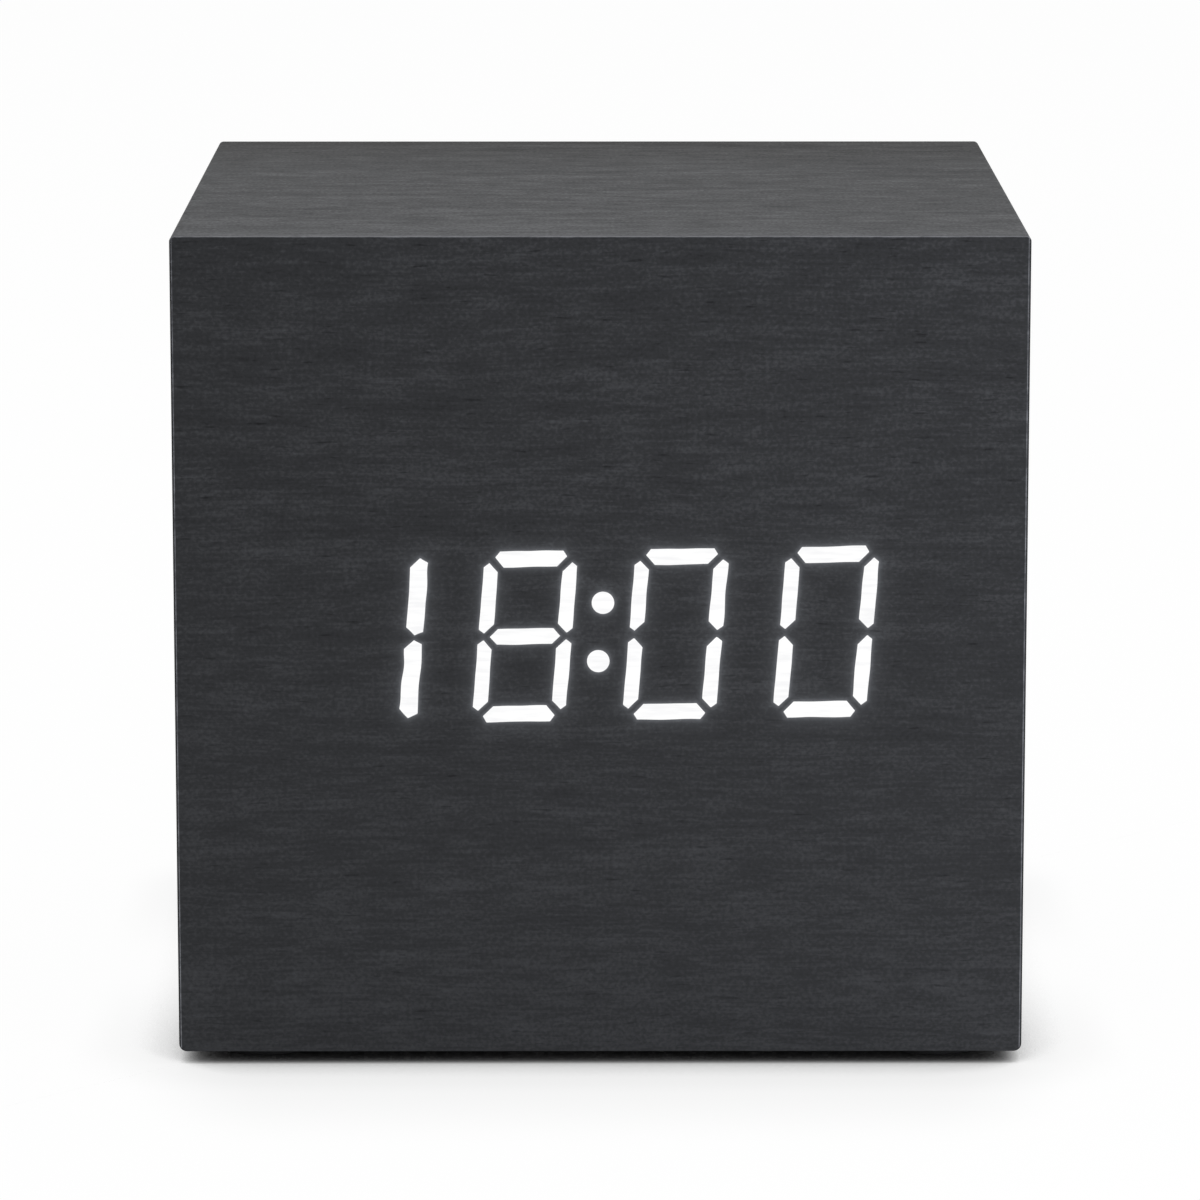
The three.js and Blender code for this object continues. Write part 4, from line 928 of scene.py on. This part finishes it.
def build_door():
    """The door: a plate with a sprung tongue between two slots, ribbed for the thumb, a nose behind the
    tongue and two hooks along the lower edge."""
    left, right, top = door_low.x, door_high.x, door_high.z
    inner = TONGUE[0] / 2
    outer = inner + TONGUE_SLOT
    deep = top - TONGUE[1]
    corners = [(left, DOOR_BOTTOM), (right, DOOR_BOTTOM), (right, top)]
    corners += [(outer, top), (outer, deep), (inner, deep), (inner, top)]
    corners += [(-inner, top), (-inner, deep), (-outer, deep), (-outer, top), (left, top)]
    radii = [DOOR_CORNER] * 3 + [*TONGUE_CORNERS, *TONGUE_CORNERS[::-1]] + [DOOR_CORNER]
    parts = [plate([rounded(corners, radii)], DOOR_INNER, OUTER, MOULDED_EDGE)]
    for i in range(RIB_COUNT):
        z = top - RIB_PITCH * (i + 1)
        half = TONGUE[0] / 2 - RIB_WIDTH
        rib = box_outline((-half, z - RIB_WIDTH / 2), (half, z + RIB_WIDTH / 2), RIB_WIDTH / 2 - SQUARE)
        parts.append(plate([rib], OUTER - RIB_HEIGHT, OUTER + RIB_HEIGHT, RIB_WIDTH / 2 - RIB_FLAT))
    hook_outer = INNER - FITTING_GAP
    hook_inner = hook_outer - HOOK_THICKNESS
    neck = DOOR_BOTTOM + LEDGE + FITTING_GAP
    for x in (-HOOK_SPREAD / 2, HOOK_SPREAD / 2):
        near, far = x - HOOK_WIDTH / 2, x + HOOK_WIDTH / 2
        high = neck + HOOK_THICKNESS
        parts.append(block(
            (near + HAIR, hook_inner + HAIR, neck), (far - HAIR, DOOR_INNER + OVERLAP, high - HAIR),
            HOOK_EDGE,
        ))
        parts.append(block((near, hook_inner, door_low.z), (far, hook_outer, high), HOOK_EDGE))
    nose_top = top - LEDGE - FITTING_GAP
    parts.append(block(
        (-inner, DOOR_INNER - NOSE[0], nose_top - NOSE[1]), (inner, DOOR_INNER + OVERLAP, nose_top),
        NOSE_EDGE,
    ))
    finished("moulded_battery_door", joined(*parts), "battery_door", [casing], ["battery_door"])


def build_screws():
    """Pan head screws with a cross recess, each stopped at another turn."""
    shank, point, point_length = SHANK
    crown = SCREW_HEAD * CROWN[0]
    for i, (low, high) in enumerate(screws):
        seat = OUTER - POCKET_DEPTH + BEARING_GAP
        head, end = high.y - seat, low.y - seat
        body = turned(soft_profile(
            [(0, end), (point, end), (shank, end + point_length), (shank, 0), (SCREW_HEAD, 0),
             (SCREW_HEAD, head * CROWN[1]), (crown, head), (0, head)],
            [0, 0, 0, 0, 0.1, 0.35, 0.3, 0],
        ))
        for turn in (0, 90):
            blade = block((-crown, head * CROSS[1], -CROSS[0]), (crown, head + 1, CROSS[0]))
            narrow = [v for v in blade.verts if v.co.y < head * 0.5]
            bmesh.ops.scale(blade, vec=CROSS_TAPER, verts=narrow)
            about = Matrix.Rotation(math.radians(turn), 3, "Y")
            bmesh.ops.rotate(blade, cent=(0, 0, 0), matrix=about, verts=blade.verts)
            body = carved(body, blade)
        bmesh.ops.dissolve_degenerate(body, dist=1e-3, edges=body.edges)
        place = centre((low, high))
        turned_to = Matrix.Rotation(math.radians(SCREW_TURNS[i]), 4, "Y")
        bmesh.ops.transform(body, matrix=moved(place.x, seat, place.z) @ turned_to, verts=body.verts)
        finished(
            f"pan_head_screw_{i + 1}", body, "case", [screw_steel], [f"cover_screw_{i + 1}"],
        )


def symbol_outlines(name):
    """A ring on the set button, and a triangle that points up or down on the others."""
    if name == "set":
        return [ring_outline(SYMBOL_RADIUS), ring_outline(SYMBOL_RADIUS - SYMBOL_LINE)]
    way = 1 if name == "up" else -1
    angles = [math.radians(a) for a in (90, 210, 330)]
    corners = [(SYMBOL_RADIUS * math.cos(a), way * SYMBOL_RADIUS * math.sin(a)) for a in angles]
    return [rounded(corners, SYMBOL_CORNER)]


def build_buttons():
    """Turned caps with a dished face, a flange behind the cover and a post, and a symbol let in."""
    for name, (low, high) in buttons.items():
        face = high.y - low.y - SYMBOL_HEIGHT
        post, flange = KEY_POST[1], KEY_POST[1] + KEY_FLANGE[1]
        cap = turned(soft_profile(
            [(0, 0), (KEY_POST[0], 0), (KEY_POST[0], post), (KEY_FLANGE[0], post), (KEY_FLANGE[0], flange),
             (KEY_RADIUS, flange), (KEY_RADIUS, face), (KEY_RADIUS * 0.72, face - KEY_DISH * 0.4),
             (KEY_RADIUS * 0.4, face - KEY_DISH * 0.85), (0, face - KEY_DISH)],
            [0, 0.15, 0, 0.1, 0.1, 0, 0.35, 0, 0, 0],
        ))
        mark = plate(symbol_outlines(name), face - SYMBOL_ROOT, face + SYMBOL_HEIGHT, SYMBOL_EDGE)
        marks = len(mark.polygons)
        bm = joined(cap, mark)
        bm.faces.ensure_lookup_table()
        for polygon in bm.faces[-marks:]:
            polygon.material_index = 1
        place = centre((low, high))
        bmesh.ops.transform(bm, matrix=moved(place.x, low.y, place.z), verts=bm.verts)
        finished(f"keycap_{name}", bm, f"button_{name}", [keycap, stamping], [f"button_{name}"])


def build_inlet():
    """The socket's body with its round nose and bore, and the pin in the bore."""
    middle = centre((inlet_low, inlet_high))
    nose = inlet_high.y
    half = (inlet_high.x - inlet_low.x) / 2
    bore_end = nose - BORE_DEPTH
    square = box_outline((middle.x - half, middle.z - half), (middle.x + half, middle.z + half), 0.3)
    bore = ring_outline(BORE_RADIUS, middle.x, middle.z)
    barrel = turned(soft_profile(
        [(BORE_RADIUS, bore_end), (BORE_RADIUS, nose), (INLET_NOSE, nose), (INLET_NOSE, bore_end),
         (BORE_RADIUS, bore_end)],
        [0, 0.35, 0.25, 0, 0],
    ))
    bmesh.ops.translate(barrel, vec=(middle.x, 0, middle.z), verts=barrel.verts)
    parts = [
        plate([square, bore], bore_end, INNER - FITTING_GAP, 0.1),
        plate([square], inlet_low.y, bore_end + INLET_LAP),
        barrel,
    ]
    finished("socket_power_inlet", joined(*parts), "case", [component], ["power_inlet"])
    low, high = span("inlet_pin")
    pin = turned(soft_profile(
        [(0, low.y), (PIN_RADIUS, low.y), (PIN_RADIUS, high.y), (0, high.y)], [0, 0, 0.45, 0],
    ), 24)
    bmesh.ops.translate(pin, vec=(middle.x, 0, middle.z), verts=pin.verts)
    finished("turned_inlet_pin", pin, "case", [brass], ["inlet_pin"])


# Cells and contacts

def plus_side(i):
    """The side, along x, where a cell has its nub. The cells lie in turns."""
    return 1 if i % 2 == 0 else -1


def build_cells():
    """The cells: a bare base, film with a pale band towards the plus end, and a sunk end with its nub."""
    base, film_start, base_depth = BASE
    step, step_foot, step_depth = PLUS_END
    film = shrink_film()
    for i, (low, high) in enumerate(well_cells):
        length = high.x - low.x
        shoulder = length - NUB[1]
        bm = turned(soft_profile(
            [(0, base_depth), (base, base_depth), (film_start, 0), (CELL_RADIUS, 0), (CELL_RADIUS, shoulder),
             (step, shoulder), (step_foot, shoulder - step_depth), (NUB[0], shoulder - step_depth),
             (NUB[0], length), (0, length)],
            [0, 0, 0, 0.5, 0.6, 0.1, 0, 0.1, 0.35, 0],
        ), 64)
        band = bm.verts.layers.float.new("band")
        for along in PALE_BAND:
            sliced(bm, 1, shoulder - along)
        for vert in bm.verts:
            vert[band] = 1.0 if vert.co.y > shoulder - sum(PALE_BAND) / 2 else 0.0
        for face in bm.faces:
            outer = max(Vector((v.co.x, v.co.z)).length for v in face.verts)
            face.material_index = 0 if outer > BARE_RADIUS else 1
        side = plus_side(i)
        start = low.x if side > 0 else high.x
        mid = centre((low, high))
        place = moved(start, mid.y, mid.z) @ Matrix.Rotation(-side * math.pi / 2, 4, "Z")
        bmesh.ops.transform(bm, matrix=place, verts=bm.verts)
        finished(
            f"wrapped_cell_{i + 1}", bm, "case", [film, can_steel], [f"battery_cell_{i + 1}"],
        )


def spring_mesh():
    """A conical spring along +X from its base at x = 0."""
    points = []
    count = round(SPRING_TURNS * SPRING_STEPS)
    for k in range(count + 1):
        share = k / count
        radius = SPRING_RADII[0] + (SPRING_RADII[1] - SPRING_RADII[0]) * share
        angle = 2 * math.pi * SPRING_TURNS * share
        along = (SPRING_LENGTH - SPRING_WIRE) * share + SPRING_WIRE / 2
        points.append((along, radius * math.cos(angle), radius * math.sin(angle)))
    return curve_mesh(
        [points], False, dimensions="3D", bevel_depth=SPRING_WIRE / 2, bevel_resolution=3, use_fill_caps=True,
    )


def dimple_mesh():
    """A pressed dimple that stands up along +X."""
    bm = turned(soft_profile(
        [(0, -0.1), (DIMPLE[0], -0.1), (DIMPLE[0] * 0.9, 0.08), (DIMPLE[0] * 0.45, DIMPLE[1]),
         (0, DIMPLE[1])],
        [0, 0, 0.1, 0.5, 0],
    ), 32)
    bmesh.ops.rotate(bm, cent=(0, 0, 0), matrix=Matrix.Rotation(-math.pi / 2, 3, "Z"), verts=bm.verts)
    return mesh_of(bm)


def build_contacts():
    """Pressed contacts: a plate with a spring for each cell's base and a dimple for each nub, and on the
    two terminals a tab that runs through the well's floor."""
    contacts = {  # the wall that each stands at, and its cells
        "negative_terminal": (-1, [0]), "link_contact_right": (1, [0, 1]),
        "link_contact_left": (-1, [1, 2]), "positive_terminal": (1, [2]),
    }
    for name, (side, cells) in contacts.items():
        low, high = span(name)
        wall = low.x if side < 0 else high.x
        inner = wall - side * CONTACT
        cell_y = centre(well_cells[0]).y
        heights = [centre(well_cells[i]).z for i in cells]
        plate_low = Vector((min(wall, inner), cell_y - CONTACT_REACH, min(heights) - CONTACT_END))
        plate_high = Vector((max(wall, inner), cell_y + CONTACT_REACH, max(heights) + CONTACT_END))
        parts = [block(plate_low, plate_high, 0.12)]
        for i, z in zip(cells, heights):
            touch = dimple_mesh() if plus_side(i) == side else spring_mesh()
            facing = Matrix.Rotation(math.pi if side > 0 else 0, 4, "Z")
            parts.append((touch, moved(inner, cell_y, z) @ facing))
        if low.y < plate_low.y - 1:
            z = heights[0]
            parts.append(block(
                (plate_low.x, low.y, z - CONTACT_TAB), (plate_high.x, plate_low.y + 1, z + CONTACT_TAB), 0.1,
            ))
        finished(f"pressed_{name}", joined(*parts), "case", [nickel], [name])


# CAD nodes that keep their shape take a finish

def dress_nodes():
    """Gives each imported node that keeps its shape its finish."""
    ribbon_low, ribbon_high = span("ribbon_cable")
    finishes = {
        board: [f"{side}_board" for side in ("front", "top", "bottom", "left", "right")],
        beech: [f"corner_block_{i}" for i in (1, 2, 3, 4)],
        mask_plastic: ["segment_mask"],
        laminate(): ["main_board", "button_board"],
        component: [
            "controller_chip", "capacitor", "buzzer", "coin_cell_holder",
            "switch_set", "switch_up", "switch_down",
        ],
        can_steel: ["coin_cell"],
        screw_steel: [
            *[f"main_board_screw_{i}" for i in (1, 2, 3, 4)], "button_board_screw_1", "button_board_screw_2",
        ],
        nylon: ["plunger_set", "plunger_up", "plunger_down"],
        striped_ribbon(ribbon_low.x, (ribbon_high.x - ribbon_low.x) / 6): ["ribbon_cable"],
        black_vinyl: ["battery_lead_negative"],
        red_vinyl: ["battery_lead_positive"],
    }
    for finish, names in finishes.items():
        for name in names:
            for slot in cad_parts[name].material_slots:
                slot.material = finish


# Studio

def seen(tree):
    """1 for what the camera, a reflection or glass shows, and 0 for the light that falls on things."""
    light = add(tree, "LightPath").outputs
    direct = add(tree, "Math", {0: light["Is Camera Ray"], 1: light["Is Glossy Ray"]}, operation="MAXIMUM")
    return add(tree, "Math", {0: direct, 1: light["Is Transmission Ray"]}, operation="MAXIMUM")


def floor_shade(tree):
    """How white the floor shows: it darkens close to what stands on it, most at the front and the back
    of the object and less beside it, as under a broad lamp above, and a soft pool of shade lies in
    front of the object."""
    open_air = add(tree, "AmbientOcclusion", {"Distance": NEAR * MM}, samples=8)
    shade = add(tree, "FloatCurve", {"Value": open_air.outputs["AO"]})
    for openness, strength in SHADE_CURVE:
        shade.mapping.curves[0].points.new(openness, strength)
    shade.mapping.update()
    place = add(tree, "TexCoord").outputs["Object"]
    half = add(tree, "VectorMath", {0: place}, operation="ABSOLUTE")
    beside = add(tree, "MapRange", {
        "Value": add(tree, "SeparateXYZ", {0: half}).outputs["Y"],
        "From Min": BESIDE[0] * MM, "From Max": BESIDE[1] * MM,
    }, interpolation_type="SMOOTHSTEP")
    lack = add(tree, "Math", {0: 1.0, 1: shade}, operation="SUBTRACT")
    lift = add(tree, "Math", {0: lack, 1: shade}, operation="MULTIPLY")
    opened = add(tree, "Math", {0: lift, 1: beside, 2: shade}, operation="MULTIPLY_ADD")
    ends = add(tree, "VectorMath", {0: half, 1: (POOL_CENTRE[0] * MM, 0, 0)}, operation="SUBTRACT")
    outside = add(tree, "VectorMath", {0: ends, 1: (0, 0, 0)}, operation="MAXIMUM")
    sideways = add(tree, "Math", {
        0: add(tree, "SeparateXYZ", {0: outside}).outputs["X"], 1: POOL_SQUEEZE,
    }, operation="MULTIPLY")
    ahead = add(tree, "Math", {
        0: add(tree, "SeparateXYZ", {0: place}).outputs["Y"], 1: POOL_CENTRE[1] * MM,
    }, operation="ADD")
    reach = add(tree, "CombineXYZ", {"X": sideways, "Y": ahead})
    pool = add(tree, "MapRange", {
        "Value": add(tree, "VectorMath", {0: reach}, operation="LENGTH").outputs["Value"],
        "From Min": POOL_REACH[0] * MM, "From Max": POOL_REACH[1] * MM, "To Min": POOL_DEPTH, "To Max": 1.0,
    }, interpolation_type="SMOOTHSTEP")
    return add(tree, "Math", {0: opened, 1: pool}, operation="MULTIPLY")


def build_floor():
    """A plain floor of matt white paper. What is seen of it is an even white with the object's shade,
    and what lights the object is the paper under the lamps."""
    bm = bmesh.new()
    bmesh.ops.create_grid(bm, x_segments=1, y_segments=1, size=FLOOR_SIDE / 2 * MM)
    floor = placed("floor", mesh_of(bm))
    made, tree, shader = new_material("white_paper_floor")
    tree.nodes.remove(shader)
    paper = add(tree, "BsdfDiffuse", {"Color": linear("#f6f6f6")})
    white = add(tree, "Emission", {"Strength": floor_shade(tree)})
    share = add(tree, "Math", {0: seen(tree), 1: SEEN_SHARE}, operation="MULTIPLY")
    mixed = add(tree, "MixShader", {0: share, 1: paper, 2: white})
    feed(tree, tree.nodes["Material Output"], {"Surface": mixed})
    floor.data.materials.append(made)


def build_world():
    """An even white room: pale grey as a light, and white to the eye."""
    world = bpy.data.worlds.new("studio")
    bpy.context.scene.world = world
    world.use_nodes = True
    tree = world.node_tree
    strength = add(tree, "MapRange", {"Value": seen(tree), "To Min": 0.38, "To Max": 1.0})
    feed(tree, tree.nodes["Background"], {"Strength": strength, "Color": linear("#ffffff")})


def softbox(name, place, target, size, power, tint="#ffffff"):
    """A square lamp, in metres and watts, that faces its target."""
    lamp = bpy.data.lights.new(name, "AREA")
    lamp.shape = "SQUARE"
    lamp.color = linear(tint)[:3]
    lamp.size = size
    lamp.energy = power
    holder = placed(name, lamp)
    holder.location = place
    holder.rotation_euler = (Vector(target) - Vector(place)).to_track_quat("-Z", "Y").to_euler()


def build_studio():
    """A pale floor and room, a broad soft lamp above and a small one at the front right."""
    middle = (0, 0, 0.033)
    build_floor()
    build_world()
    softbox("overhead", (0.0, 0.05, 0.75), middle, 0.6, 3.0)
    # Low and a little cooler: the front is paler and bluer towards the right.
    softbox("front_right", (0.17, -0.155, 0.055), middle, 0.1, 0.285, "#f4f7ff")


def build_camera():
    """The photo's view: from straight ahead, looking down by ten and a half degrees."""
    camera = bpy.data.cameras.new("camera")
    camera.lens = 186.3
    camera.clip_start = 0.01
    camera.clip_end = 50
    holder = placed("camera", camera)
    holder.location = (-0.001, -0.4974, 0.1229)
    holder.rotation_euler = (math.radians(90 - 10.535), 0, math.radians(-0.12))
    bpy.context.scene.camera = holder
    bpy.context.scene.view_settings.view_transform = "Standard"


build_skin()
build_display()
build_feet()
build_cover()
build_door()
build_screws()
build_buttons()
build_inlet()
build_cells()
build_contacts()
dress_nodes()
build_studio()
build_camera()
